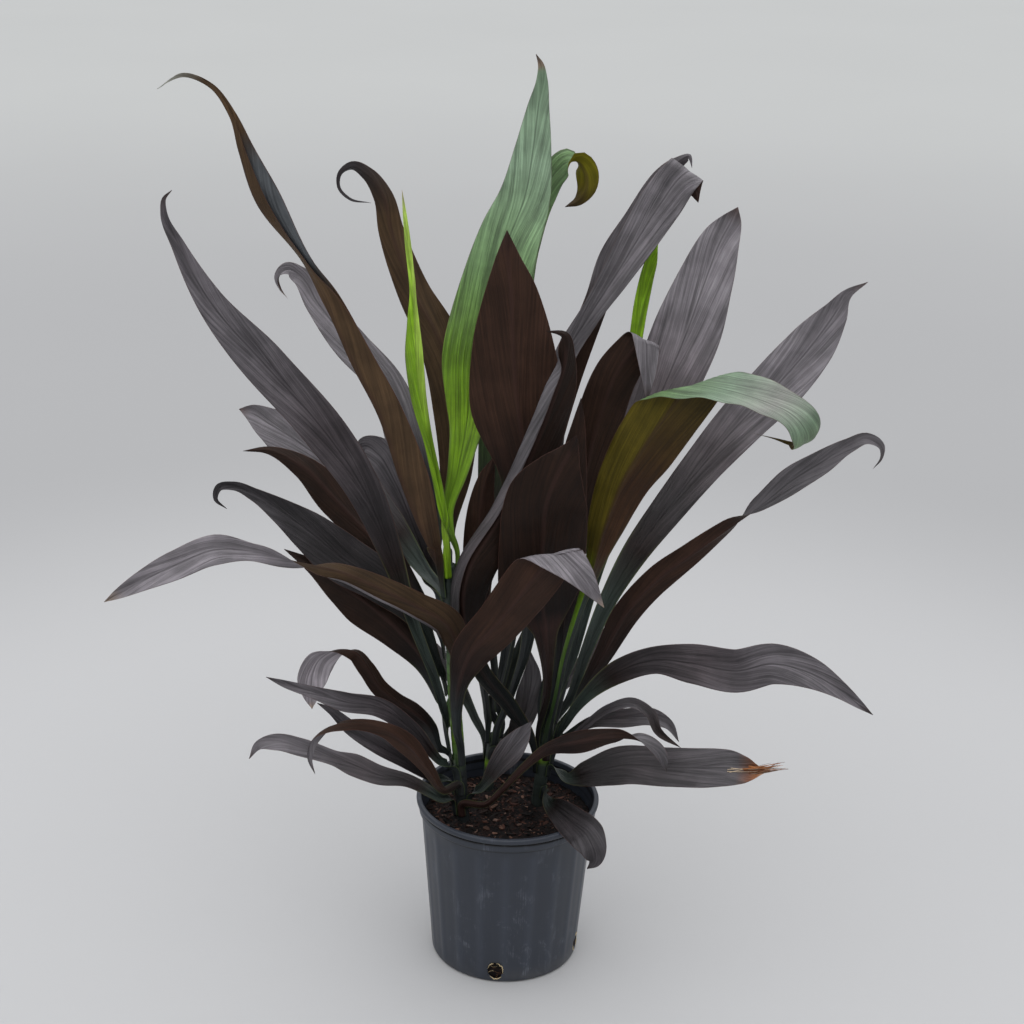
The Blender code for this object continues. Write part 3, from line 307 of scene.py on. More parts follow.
        (427, 560, 76, 8, 0), (414, 505, 126, 14, 0), (401, 450, 182, 18, 0), (388, 404, 244, 16, 0),
        (377, 374, 290, 10, 0), (369, 352, 315, 0.8, 0)]),
    "leaf_rear_upper_centre": ("cane_back", 285, 140, 12, (0.04, 1.5), [
        (500, 690, 96, 6, 0), (516, 600, 150, 10, 0), (528, 500, 220, 26, 0), (532, 420, 280, 34, 0),
        (528, 365, 330, 26, 0), (521, 330, 360, 12, 0), (514, 305, 380, 0.8, 0)]),
    "leaf_rear_upper_right": ("cane_back", 258, 27, 12, (0.05, 2.0), [
        (504, 695, 105, 6, 0), (546, 600, 150, 12, 0), (600, 510, 210, 20, 0), (640, 450, 260, 26, 0),
        (668, 398, 300, 28, 0), (688, 350, 330, 20, 0), (702, 318, 354, 10, 0), (708, 298, 366, 0.8, 0)]),
    "leaf_rear_lower_left": ("cane_back", 256, 150, 12, (0.05, 1.5), [
        (474, 716, 96, 6, 0), (450, 672, 140, 12, 0), (412, 638, 200, 18, 0), (384, 622, 260, 14, 0),
        (362, 612, 300, 0.8, 0)]),
    "leaf_rear_lower_centre": ("cane_back", 236, 95, 12, (0.04, 1.0), [
        (508, 735, 110, 6, 0), (522, 716, 170, 12, 0), (529, 698, 240, 14, 0), (531, 682, 290, 0.8, 0)]),
    "leaf_rear_lower_right": ("cane_back", 226, 20, 12, (0.04, 1.5), [
        (522, 716, 92, 6, 0), (556, 690, 130, 9, 0), (596, 650, 180, 12, 0), (628, 612, 230, 12, 0),
        (652, 588, 270, 8, 0), (668, 572, 300, 0.8, 0)]),
}


# Viewing geometry
def view_axes():
    """The unit vectors that point right, up and forward in the view from EYE."""
    forward = Vector((0.0, math.cos(LOOK_DOWN), -math.sin(LOOK_DOWN)))
    level = Vector((1.0, 0.0, 0.0))
    upright = Vector((0.0, math.sin(LOOK_DOWN), math.cos(LOOK_DOWN)))
    right = level * math.cos(LEAN) + upright * math.sin(LEAN)
    up = upright * math.cos(LEAN) - level * math.sin(LEAN)
    return right, up, forward


def seen_at(across, down, depth):
    """The point that the view shows at a pixel, on the upright plane a depth behind the pot's axis."""
    right, up, forward = view_axes()
    half_frame = FRAME_PIXELS / 2
    ray = forward + right * ((across - half_frame) / FOCAL_PIXELS) + up * ((half_frame - down) / FOCAL_PIXELS)
    return EYE + ray * ((depth - EYE.y) / ray.y)


# Leaves
def flowing(knots, values, at):
    """Read a smooth curve through values, which never swings past two neighbours' range."""
    knots = np.asarray(knots, dtype=float)
    values = np.asarray(values, dtype=float)
    gaps = np.diff(knots)
    slopes = np.diff(values) / gaps
    tangents = np.zeros_like(values)
    tangents[0] = slopes[0]
    tangents[-1] = slopes[-1]
    for i in range(1, len(knots) - 1):
        if slopes[i - 1] * slopes[i] > 0:
            before = 2 * gaps[i] + gaps[i - 1]
            after = gaps[i] + 2 * gaps[i - 1]
            tangents[i] = (before + after) / (before / slopes[i - 1] + after / slopes[i])
    return hermite(knots, values, tangents, at)


def rounded(knots, points, at):
    """Read a smooth curve through points, with the slope at each one taken across its neighbours."""
    knots = np.asarray(knots, dtype=float)
    points = np.asarray(points, dtype=float)
    gaps = np.diff(knots)[:, None]
    slopes = np.diff(points, axis=0) / gaps
    tangents = np.empty_like(points)
    tangents[0] = slopes[0]
    tangents[-1] = slopes[-1]
    tangents[1:-1] = (slopes[:-1] * gaps[1:] + slopes[1:] * gaps[:-1]) / (gaps[1:] + gaps[:-1])
    return hermite(knots, points, tangents, at)


def hermite(knots, values, tangents, at):
    """Cubic pieces through values with the given tangents."""
    at = np.asarray(at, dtype=float)
    piece = np.clip(np.searchsorted(knots, at, side="right") - 1, 0, len(knots) - 2)
    gap = knots[piece + 1] - knots[piece]
    t = (at - knots[piece]) / gap
    if values.ndim == 2:
        gap = gap[:, None]
        t = t[:, None]
    start = values[piece] * (2 * t ** 3 - 3 * t ** 2 + 1)
    start_slope = tangents[piece] * gap * (t ** 3 - 2 * t ** 2 + t)
    end = values[piece + 1] * (3 * t ** 2 - 2 * t ** 3)
    end_slope = tangents[piece + 1] * gap * (t ** 3 - t ** 2)
    return start + start_slope + end + end_slope


def cane_at(cane, height):
    """The middle of a cane at a height, and its direction there."""
    radius, points = CANES[cane]
    for low, high in zip(points, points[1:]):
        if height <= high[2]:
            break
    share = (height - low[2]) / (high[2] - low[2])
    low = Vector(low) * MM
    high = Vector(high) * MM
    return low.lerp(high, share), (high - low).normalized(), radius * MM


def leaf_frame(point, tangent):
    """The unit vectors across the view and towards the viewer, both square to a leaf's run."""
    to_eye = np.array(EYE) - point
    across = np.cross(tangent, to_eye)
    across /= np.linalg.norm(across)
    facing = np.cross(across, tangent)
    return across, facing


def leaf_route(leaf):
    """Points, half widths and turns of a leaf from its base on the cane to its tip."""
    cane, height, side, _, _, stations = leaf
    centre, axis, radius = cane_at(cane, height)
    side = math.radians(side)
    outward = Vector((math.cos(side), math.sin(side), 0.0))
    outward = (outward - axis * outward.dot(axis)).normalized()
    base = centre + outward * (radius + CLEARANCE + BLADE / 2)
    seen = [seen_at(across, down, depth * MM) for across, down, depth, _, _ in stations]
    rise = min(SHEATH_RISE, SHEATH_SHARE * (seen[0] - base).length)
    points = [base, base + axis * rise + outward * (rise * SHEATH_LEAN)] + seen
    halves = [SHEATH_HALF, SHEATH_HALF] + [half * MM for _, _, _, half, _ in stations]
    across, facing = leaf_frame(np.array(base), np.array(axis))
    inward = -np.array(outward)
    base_turn = math.degrees(math.atan2(-inward @ across, inward @ facing))
    first_turn = stations[0][4]
    base_turn += 360 * round((first_turn - base_turn) / 360)
    turns = [base_turn, base_turn] + [turn for _, _, _, _, turn in stations]
    return np.array(points), np.array(halves), np.array(turns)



# Where a blade is bent over once it lies along its route: a line in the view, its depth, the angle in
# degrees, the radius in millimetres, 1 towards the viewer or -1 away, and the stage where it can begin
BENDS = {
    "leaf_olive_folded": [((724, 284), (760, 302), -104, 172, 46, 1, 1.3),
                          ((646, 403), (731, 376), -95, 112, 7, 1, 1.2)],
    "leaf_front_centre": [((511, 565), (589, 548), -138, 160, 6, 1, 1.3)],
    "leaf_back_arched": [((620, 336), (661, 350), 80, 165, 9, 1, 1.3)],
    "leaf_right_folded_tip": [((664, 163), (704, 187), 184, 168, 8, -1, 1.5)],
}
# Margins rolled over to show the other face: the side, how far out it starts, and between which stages
ROLLS = {
    "leaf_centre_folded": (1, 0.55, 1.0, 1.95),
    "leaf_left_level": (1, 0.8, 1.0, 1.5),
}
# A blade folded shut along its midrib: the side on which the midrib lies, stages, and how far the near
# and the far half reach across the width at each
CLOSED = {
    "leaf_tall_twisted": (1, (0.9, 1.45, 1.52, 1.62, 1.85, 2.0), (1.0, 1.0, 0.9, 0.52, 0.5, 1.0),
                          (0.96, 0.96, 0.97, 1.0, 1.0, 1.0)),
}


# Colours, as screen numbers from 0 to 255
PALETTE = {
    "stalk_dark": (36, 40, 41),
    "stalk_green": (45, 54, 49),
    "stalk_edge": (78, 96, 50),
    "stalk_red": (48, 32, 29),
    "purple_deep": (46, 42, 44),
    "purple": (70, 64, 67),
    "purple_grey": (94, 90, 94),
    # Purple-grey made paler: a painted sheen for upper faces that tip up to the overhead light
    "sheen_silver": (116, 111, 116),
    # A painted sheen on an under face that turns up to the overhead light
    "under_sheen_grey": (78, 81, 84),
    "under_deep": (28, 18, 16),
    "under": (50, 33, 25),
    "under_warm": (54, 37, 29),
    "under_olive": (68, 52, 36),
    "olive": (68, 56, 20),
    "olive_bright": (84, 74, 20),
    "olive_red": (64, 42, 26),
    "olive_gold": (116, 110, 18),
    "green_grey": (126, 150, 124),
    "green_mid": (108, 140, 90),
    "green_fresh": (98, 134, 30),
    "green_deep": (64, 92, 42),
    "lime": (116, 154, 24),
    "lime_pale": (168, 198, 84),
    "tip_dark": (52, 36, 32),
    "tip_brown": (134, 116, 100),
    "tip_grey": (150, 152, 144),
    "burnt": (176, 116, 74),
    "burnt_dark": (120, 76, 54),
    "burnt_pale": (222, 200, 172),
    "rib_red": (64, 43, 39),
    "margin": (96, 66, 58),
}

# A leaf's colours, upper face and under face, from its base (0) past the start of the blade (1) to its
# tip (2). A second name at a stage is the colour of the other half of the blade.
DARK_STALK = [(0.0, "stalk_dark"), (0.7, "stalk_green"), (0.95, "under_deep"), (1.12, "purple_deep")]
PURPLE_TOP = DARK_STALK + [(1.35, "purple"), (1.62, "purple_grey"), (1.94, "purple_grey"), (2.0, "tip_dark")]
PURPLE_BACK = [(0.0, "stalk_dark"), (0.6, "stalk_dark"), (1.0, "under_deep"), (1.3, "under"),
               (1.9, "under"), (2.0, "tip_dark")]
# Upper faces that catch the overhead light: purple-grey paling to a painted silver sheen
SHEEN_SILVER_TOP = DARK_STALK + [(1.3, "purple_grey"), (1.6, "sheen_silver"), (1.95, "sheen_silver"), (2.0, "tip_brown")]
OLIVE_BACK = [(0.0, "stalk_green"), (0.8, "under"), (1.2, "under_olive"), (1.8, "under_olive"),
              (2.0, "tip_grey")]
GREEN_STALK = [(0.0, "stalk_dark"), (0.65, "stalk_green"), (0.8, "green_fresh"), (1.0, "lime")]
LOOKS = {
    "leaf_tall_green": (
        [(0.0, "green_fresh"), (1.0, "lime"), (1.15, "green_fresh"), (1.4, "green_mid"),
         (1.7, "green_grey"), (1.95, "green_grey"), (1.967, "tip_brown"), (2.0, "tip_dark")],
        [(0.0, "green_fresh"), (1.0, "green_fresh"), (1.5, "green_deep"), (2.0, "tip_brown")]),
    "leaf_green_curled_tip": (
        [(0.0, "stalk_dark"), (0.75, "stalk_green"), (1.05, "under_deep"), (1.25, "green_deep"),
         (1.45, "green_mid"), (1.9, "green_mid"), (2.0, "tip_dark")],
        [(0.0, "stalk_dark"), (0.75, "stalk_green"), (1.0, "olive_bright"), (1.6, "olive_gold"),
         (1.9, "olive_gold"), (1.96, "olive"), (2.0, "tip_dark")]),
    "leaf_young_yellow": (
        [(0.0, "lime"), (0.9, "lime"), (1.5, "lime", "lime_pale"), (1.9, "lime_pale"),
         (2.0, "tip_brown")],
        [(0.0, "lime"), (1.0, "lime_pale"), (1.9, "lime_pale"), (2.0, "tip_brown")]),
    "leaf_bright_green": (GREEN_STALK + [(2.0, "lime")], GREEN_STALK + [(2.0, "green_fresh")]),
    "leaf_olive_folded": (
        [(0.0, "stalk_green"), (1.0, "green_fresh"), (1.4, "green_mid"), (1.52, "green_grey"),
         (1.64, "tip_grey"), (1.74, "green_grey"), (1.82, "green_mid"), (1.92, "green_deep"),
         (2.0, "tip_dark")],
        [(0.0, "stalk_dark"), (0.3, "stalk_dark", "green_deep"), (0.7, "stalk_green", "green_fresh"),
         (0.92, "olive_red", "olive_bright"), (1.15, "olive_red", "olive_bright"),
         (1.4, "olive", "olive_bright"), (2.0, "olive")]),
    "leaf_centre_lower": (
        PURPLE_TOP,
        [(0.0, "stalk_dark"), (0.5, "stalk_red"), (0.92, "rib_red"), (1.02, "under_deep"),
         *PURPLE_BACK[3:]]),
    # The twisted leaf: the grey second half of its under face paints the sheen where that half faces the
    # overhead light, and its pale grey tip paints a highlight
    "leaf_tall_twisted": (
        SHEEN_SILVER_TOP[:-1] + [(1.93, "tip_grey"), (2.0, "tip_grey")],
        OLIVE_BACK[:3] + [(1.5, "under_olive"), (1.58, "under_olive", "under_sheen_grey"),
                          (1.76, "under_olive", "under_sheen_grey"), (1.82, "under_olive"),
                          (1.92, "under_olive"), (2.0, "tip_grey")]),
    "leaf_hooked": (
        PURPLE_TOP[:-1] + [(2.0, "purple_deep")],
        OLIVE_BACK[:-2] + [(1.7, "under_olive"), (1.85, "purple_deep"), (2.0, "purple_deep")]),
    "leaf_left_level": (
        SHEEN_SILVER_TOP,
        [(0.0, "green_mid"), (0.3, "green_mid"), (0.45, "stalk_green"), *OLIVE_BACK[1:]]),
    "leaf_right_hidden": (
        PURPLE_TOP,
        PURPLE_BACK[:-2] + [(1.55, "under"), (1.66, "purple_grey"), (2.0, "purple_grey")]),
    "leaf_burnt_tip": (
        PURPLE_TOP[:5] + [(1.84, "purple_grey"), (1.9, "burnt_dark"), (1.94, "burnt"),
                          (2.0, "burnt_pale")],
        PURPLE_BACK),
    "leaf_short_curled": (
        PURPLE_TOP,
        [(0.0, "stalk_red"), (0.9, "stalk_red"), (1.1, "under_deep"), (2.0, "under")]),
    "leaf_low_left_hook": (PURPLE_TOP, [(0.0, "stalk_dark"), (0.9, "under"), (2.0, "under_warm")]),
    "leaf_thin_arching": (PURPLE_TOP[:-2] + [(1.9, "tip_dark"), (2.0, "tip_dark")], PURPLE_BACK),
    # These flaps and blades face up, so their upper face takes the painted silver sheen
    "leaf_left_curled_tip": (SHEEN_SILVER_TOP, PURPLE_BACK),
    "leaf_front_centre": (SHEEN_SILVER_TOP, PURPLE_BACK),
    "leaf_left_curled": (SHEEN_SILVER_TOP, PURPLE_BACK),
    "leaf_right_folded_tip": (SHEEN_SILVER_TOP, PURPLE_BACK),
}

# How far a leaf's upper and under face are made lighter or darker, as they catch the light in the photo
SHADES = {
    "leaf_olive_folded": (0.85, 1.0),
    "leaf_low_left_upper": (1.05, 1.0),
    "leaf_low_left_lowest": (1.6, 1.0),
    "leaf_small_right": (1.3, 1.0),
    "leaf_right_broad": (2.5, 1.0),
    "leaf_right_outer": (2.1, 1.0),
    "leaf_right_waved": (1.3, 0.8),
    "leaf_right_folded_tip": (1.1, 1.0),
    "leaf_left_back_upper": (1.9, 1.0),
    "leaf_left_back_lower": (1.0, 0.7),
    "leaf_left_hook": (0.45, 1.0),
    "leaf_left_upright": (1.2, 1.0),
    "leaf_left_curled": (2.3, 0.7),
    "leaf_left_curled_tip": (1.2, 1.0),
    "leaf_left_level": (1.3, 0.8),
    "leaf_left_shadow": (1.0, 0.6),
    "leaf_left_inner": (1.1, 1.0),
    "leaf_over_rim": (0.6, 1.0),
    "leaf_centre_broad": (1.0, 1.2),
    "leaf_centre_lower": (1.0, 0.55),
    "leaf_centre_folded": (1.1, 0.5),
    "leaf_centre_strip": (1.0, 0.7),
    "leaf_front_centre": (1.35, 1.15),
    "leaf_back_arched": (1.6, 0.8),
    "leaf_burnt_tip": (0.95, 1.0),
    "leaf_tall_green": (1.3, 1.0),
    "leaf_tall_twisted": (1.0, 1.35),
    "leaf_hooked": (1.0, 1.1),
    "leaf_young_yellow": (1.3, 1.3),
    "leaf_bright_green": (1.5, 1.5),
}

# Leaves whose upper face has hardly any sheen
DULL_LEAVES = {"leaf_left_hook", "leaf_over_rim", "leaf_left_upright", "leaf_left_inner",
               "leaf_right_waved", "leaf_low_left_middle", "leaf_low_left_upper"}

# How far veins, ribs and clouds lighten and darken each face
UPPER_SWINGS = (0.34, 0.5, 0.36)
UNDER_SWINGS = (0.32, 0.36, 0.3)

# A cane's colours from its foot (0) to its crown (1)
CANE_TONES = [(0.0, "stalk_dark"), (0.36, "stalk_dark"), (0.42, "green_deep"), (0.47, "green_fresh"),
              (0.68, "green_mid"), (0.76, "stalk_green"), (1.0, "stalk_green")]
DULL_CANE_TONES = [(0.0, "stalk_dark"), (0.7, "stalk_green"), (0.76, "lime"), (0.82, "stalk_green"),
                   (1.0, "stalk_green")]

# Bark chips: lengths in millimetres and colours, each with how often it comes
CHIP_LENGTHS = [2.0, 3.0, 5.0, 8.0, 14.0]
CHIP_LENGTH_SHARES = [0.28, 0.27, 0.22, 0.15, 0.08]
CHIP_TONES = [(92, 60, 50), (68, 42, 36), (122, 90, 76), (42, 29, 26), (132, 104, 92), (20, 15, 14)]
CHIP_TONE_SHARES = [0.2, 0.28, 0.12, 0.22, 0.05, 0.13]
CRUMB_TONE = (15, 11, 11)
BARK_TONE = (48, 31, 27)
FLECK_TONE = (84, 58, 48)
POT_TONE = (50, 55, 65)
SCUFF_TONE = (118, 123, 134)
DUST_TONE = (120, 116, 108)
ROOT_TONE = (206, 188, 150)
FIBRE_TONE = (120, 86, 60)

# The torn tip of the burnt leaf, in pixels: where lying and free strands begin and end
LYING_STRANDS = 4
FREE_STRANDS = 18
STRAND_POINTS = 7
LYING_BEGIN = (724, 732)
LYING_END = 758
FREE_BEGIN = (742, 756)
FREE_END = (768, 789)
STRAND_BEGIN_DOWN = (766, 776)
LYING_END_DOWN = (768, 773)
FREE_END_DOWN = (761, 771)

# Studio: the floor's colour near the pot, in a darker ring further off that paints the shade of the studio's
# sweep, and at the back, the surround and the light, which has a name, a place, a target, a width, a height
# and a power
FLOOR_HALF = 30
FLOOR_LEVEL = -0.5 * MM
FLOOR_NEAR = (191, 191, 192)
FLOOR_SHADE_RING = (171, 171, 172)
FLOOR_FAR = (188, 189, 188)
SKY_TINT = (0.975, 0.985, 1.0, 1.0)
SKY_FROM = 0.25
SKY_TO = 0.85
SKY_LOW = 0.20
SKY_HIGH = 1.65
FRONT_LIGHT = ("front", (-0.9, -3.4, 2.2), (0.0, 0.0, 0.6), 2.6, 2.0, 9.0)


def light_of(screen):
    """Linear light for a screen colour."""
    share = np.asarray(screen, dtype=float) / 255
    return np.where(share <= 0.04045, share / 12.92, ((share + 0.055) / 1.055) ** 2.4)


def paint(screen):
    """A screen colour as a shader takes it."""
    return tuple(light_of(screen))


def smooth(low, high, value):
    """0 below low, 1 above high and an even rise between."""
    share = np.clip((np.asarray(value, dtype=float) - low) / (high - low), 0.0, 1.0)
    return share * share * (3 - 2 * share)


# Materials
def socket_value(tree, socket, value):
    """Give a socket a number, a colour or another node's output."""
    if isinstance(value, bpy.types.NodeSocket):
        tree.links.new(value, socket)
    elif hasattr(value, "__len__") and len(value) == 3 and socket.type == "RGBA":
        socket.default_value = (*value, 1.0)
    else:
        socket.default_value = value


class Shader:
    """A Principled material whose colour, roughness and bump come from nodes."""

    def __init__(self, name, roughness=0.5, specular=0.5):
        self.material = bpy.data.materials.new(name)
        self.material.use_nodes = True
        self.tree = self.material.node_tree
        self.main = self.tree.nodes["Principled BSDF"]
        self.main.inputs["Roughness"].default_value = roughness
        self.main.inputs["Specular IOR Level"].default_value = specular

    def add(self, kind, inputs=(), **settings):
        """A node with its settings and its inputs, by number or name."""
        node = self.tree.nodes.new(kind)
        for key, value in settings.items():
            setattr(node, key, value)
        for key, value in dict(inputs).items():
            socket_value(self.tree, node.inputs[key], value)
        return node

    def maths(self, operation, first, second=0.0, third=0.0):
        """The result of one sum."""
        return self.add("ShaderNodeMath", {0: first, 1: second, 2: third}, operation=operation).outputs[0]

    def times(self, first, second):
        """Two numbers multiplied."""
        return self.maths("MULTIPLY", first, second)

    def plus(self, value, factor, start):
        """A value multiplied and added to a start."""
        return self.maths("MULTIPLY_ADD", value, factor, start)

    def swing(self, value, amount):
        """A factor that swings by an amount round 1 while a value runs from 0 to 1."""
        return self.plus(value, amount, 1 - amount / 2)

    def noise(self, vector, scale, detail=2.0, rough=0.5, warp=0.0):
        """Grey noise over a vector."""
        inputs = {"Vector": vector, "Scale": scale, "Detail": detail, "Roughness": rough, "Distortion": warp}
        return self.add("ShaderNodeTexNoise", inputs).outputs[0]

    def ramp(self, value, low, high, start=0.0, end=1.0):
        """A value mapped from one range to another, held at both ends."""
        inputs = {"Value": value, "From Min": low, "From Max": high, "To Min": start, "To Max": end}
        return self.add("ShaderNodeMapRange", inputs, interpolation_type="SMOOTHSTEP").outputs["Result"]

    def mix(self, share, first, second):
        """Two colours mixed."""
        node = self.add("ShaderNodeMix", data_type="RGBA")
        socket_value(self.tree, node.inputs[0], share)
        socket_value(self.tree, node.inputs[6], first)
        socket_value(self.tree, node.inputs[7], second)
        return node.outputs[2]

    def scaled(self, colour, factor):
        """A colour made darker or lighter by a factor."""
        node = self.add("ShaderNodeVectorMath", {0: colour}, operation="SCALE")
        socket_value(self.tree, node.inputs["Scale"], factor)
        return node.outputs[0]

    def vector(self, x, y, z):
        """Three numbers as a vector."""
        return self.add("ShaderNodeCombineXYZ", {0: x, 1: y, 2: z}).outputs[0]

    def attribute(self, name):
        """A mesh attribute's node."""
        return self.add("ShaderNodeAttribute", attribute_name=name)

    def object_place(self):
        """The place on the object in metres, three outputs and the vector."""
        place = self.add("ShaderNodeTexCoord").outputs["Object"]
        parts = self.add("ShaderNodeSeparateXYZ", {0: place}).outputs
        return place, parts[0], parts[1], parts[2]

    def surface(self, colour, roughness=None, height=None, strength=0.3, distance=0.001):
        """Join colour, roughness and bump to the shader."""
        socket_value(self.tree, self.main.inputs["Base Color"], colour)
        if roughness is not None:
            socket_value(self.tree, self.main.inputs["Roughness"], roughness)
        if height is not None:
            bump = self.add("ShaderNodeBump", {"Height": height, "Strength": strength, "Distance": distance})
            self.tree.links.new(bump.outputs[0], self.main.inputs["Normal"])
        return self.material


def leaf_material(name, upper, specular):
    """A blade's face: veins that run out from the midrib, a midrib line and a thin reddish margin."""
    shader = Shader(name, specular=specular)
    tone = shader.attribute("tone").outputs["Color"]
    parts = shader.add("ShaderNodeSeparateXYZ", {0: shader.attribute("leaf").outputs["Vector"]}).outputs
    share, run, half = parts[0], parts[1], parts[2]
    away = shader.maths("ABSOLUTE", shader.times(share, half))
    side = shader.maths("SIGN", share)
    slant = shader.plus(run, -VEIN_SLANT, away)

    def streaks(across, along, rough, warp=0.0):
        """Noise drawn out along the veins: how many streaks to a metre across and along."""
        place = shader.vector(shader.times(slant, across), shader.times(run, along), side)
        return shader.noise(place, 1.0, 3.0, rough, warp)

    veins = shader.ramp(streaks(950.0, 12.0, 0.6), 0.32, 0.68)
    ribs = shader.ramp(streaks(330.0, 7.0, 0.55, 0.3), 0.34, 0.66)
    shadow = shader.ramp(streaks(95.0, 5.0, 0.55, 0.2), 0.42, 0.66, 1.1, 0.66 if upper else 0.86)
    place, _, _, _ = shader.object_place()
    cloud = shader.ramp(shader.noise(place, 22.0, 3.0, 0.55), 0.34, 0.66)
    grain = shader.noise(place, 900.0, 2.0, 0.6)
    factor = shadow
    for value, amount in zip((veins, ribs, cloud), UPPER_SWINGS if upper else UNDER_SWINGS):
        factor = shader.times(factor, shader.swing(value, amount))
    factor = shader.times(factor, shader.swing(grain, 0.14))
    colour = shader.scaled(tone, factor)
    wide = shader.ramp(half, 8 * MM, 16 * MM)
    band = shader.times(shader.times(shader.ramp(away, 1.2 * MM, 4.2 * MM, 1.0, 0.0), wide), 0.4)
    if upper:
        line = shader.times(shader.times(shader.ramp(away, 0.5 * MM, 1.5 * MM, 1.0, 0.0), wide), 0.75)
        colour = shader.mix(band, colour, shader.scaled(tone, 1.5))
        colour = shader.mix(line, colour, shader.scaled(tone, 0.42))
    else:
        colour = shader.mix(band, colour, paint(PALETTE["rib_red"]))
    edge = shader.ramp(shader.maths("SUBTRACT", half, away), 0.15 * MM, 0.9 * MM, 1.0, 0.0)
    edge = shader.times(edge, shader.ramp(half, 5 * MM, 9 * MM))
    colour = shader.mix(shader.times(edge, 0.55), colour, paint(PALETTE["margin"]))
    rough = shader.plus(grain, 0.08, shader.plus(ribs, 0.14, 0.30 if upper else 0.42))
    height = shader.plus(ribs, 0.7, shader.times(veins, 0.45))
    return shader.surface(colour, rough, height, 0.9 if upper else 0.5, 0.9 * MM)


def cane_material():
    """Stem skin: fine lengthwise lines and soft clouds."""
    shader = Shader("cane_skin", specular=0.4)
    tone = shader.attribute("tone").outputs["Color"]
    place, x, y, z = shader.object_place()
    drawn = shader.vector(shader.times(x, 700.0), shader.times(y, 700.0), shader.times(z, 18.0))
    lines = shader.noise(drawn, 1.0, 3.0, 0.6)
    cloud = shader.noise(place, 60.0, 3.0)
    colour = shader.scaled(tone, shader.times(shader.swing(lines, 0.5), shader.swing(cloud, 0.6)))
    return shader.surface(colour, shader.plus(cloud, 0.2, 0.4), lines, 0.4, 0.5 * MM)


def pot_material():
    """Matte moulded plastic with pale scuffs, dust and thin upright scratches, painted highlights along the
    flutes' ridges and painted shade in the groove under the lip and at the step under the collar.
    """
    shader = Shader("pot_plastic", specular=0.45)
    place, x, y, z = shader.object_place()
    turn = shader.maths("ARCTAN2", y, x)
    round_wall = shader.times(turn, FOOT_RADIUS)
    cloud = shader.noise(place, 14.0, 4.0, 0.6)
    scuff = shader.noise(shader.vector(shader.times(round_wall, 46.0), shader.times(z, 30.0), 0.0),
                         1.0, 5.0, 0.7, 0.6)
    scratch = shader.noise(shader.vector(shader.times(round_wall, 600.0), shader.times(z, 22.0), 1.0),
                           1.0, 2.0, 0.6)
    grain = shader.noise(place, 1300.0, 2.0, 0.6)
    patch = shader.times(shader.ramp(scuff, 0.5, 0.68), shader.ramp(scratch, 0.35, 0.65))
    patch = shader.times(patch, shader.ramp(cloud, 0.40, 0.62))
    base = paint(POT_TONE)
    for value, amount in ((cloud, 0.4), (scratch, 0.16), (grain, 0.14)):
        base = shader.scaled(base, shader.swing(value, amount))
    # Painted highlight: the ridges between the flutes made lighter, fading out below the collar
    swell = shader.maths("COSINE", shader.times(turn, float(FLUTES)))
    ridge = shader.maths("POWER", shader.plus(swell, 0.5, 0.5), 3.0)
    ridge = shader.times(ridge, shader.ramp(z, 200 * MM, 216 * MM, 1.0, 0.0))
    # Painted shade: a dark band in the groove under the lip
    collar_top = POT_HEIGHT - LIP_HEIGHT - GROOVE
    groove = shader.times(shader.ramp(z, collar_top - 2.4 * MM, collar_top - 0.8 * MM),
                          shader.ramp(z, collar_top + 2.4 * MM, collar_top + 3.2 * MM, 1.0, 0.0))
    # Painted shade: a dark line along the step under the collar
    under_collar = POT_HEIGHT - LIP_HEIGHT - COLLAR_HEIGHT - 1 * MM
    step = shader.ramp(shader.maths("ABSOLUTE", shader.maths("SUBTRACT", z, under_collar)),
                       0.4 * MM, 1.8 * MM, 1.0, 0.0)
    # Lay on the painted flute highlights and the painted shade of the groove and the step
    for value, factor, start in ((ridge, 0.24, 0.97), (groove, -0.93, 1.0), (step, -0.55, 1.0)):
        base = shader.scaled(base, shader.plus(value, factor, start))
    colour = shader.mix(shader.times(patch, 0.6), base, paint(SCUFF_TONE))
    dust = shader.times(shader.ramp(z, 0.0, 30 * MM, 1.0, 0.0), shader.ramp(cloud, 0.35, 0.65))
    colour = shader.mix(shader.times(dust, 0.22), colour, paint(DUST_TONE))
    rough = shader.plus(patch, 0.2, shader.plus(cloud, 0.14, 0.36))
    height = shader.plus(grain, 0.5, shader.times(scratch, 0.4))
    return shader.surface(colour, rough, height, 0.12, 0.4 * MM)


def soil_material():
    """Dark bark compost: near black crumb with redder and paler flecks."""
    shader = Shader("soil_bark", specular=0.25)
    place, _, _, _ = shader.object_place()
    crumb = shader.noise(place, 420.0, 4.0, 0.7)
    fleck = shader.noise(place, 190.0, 3.0, 0.6, 1.0)
    cells = shader.add("ShaderNodeTexVoronoi", {"Vector": place, "Scale": 260.0}).outputs["Color"]
    grey = shader.add("ShaderNodeRGBToBW", {0: cells}).outputs[0]
    colour = shader.scaled(paint(CRUMB_TONE), shader.plus(crumb, 1.2, 0.4))
    colour = shader.mix(shader.times(shader.ramp(grey, 0.62, 0.8), 0.6), colour, paint(BARK_TONE))
    colour = shader.mix(shader.times(shader.ramp(fleck, 0.64, 0.76), 0.5), colour, paint(FLECK_TONE))
    return shader.surface(colour, 0.92, shader.maths("ADD", crumb, grey), 0.8, 1.2 * MM)


def toned_material(name, roughness, swing):
    """Chips, fibres and the like: the mesh's own tone with grain."""
    shader = Shader(name, roughness=roughness, specular=0.25)
    tone = shader.attribute("tone").outputs["Color"]
    place, _, _, _ = shader.object_place()
    grain = shader.noise(place, 700.0, 3.0, 0.7)
    colour = shader.scaled(tone, shader.swing(grain, swing))
    return shader.surface(colour, None, grain, 0.5, 0.5 * MM)


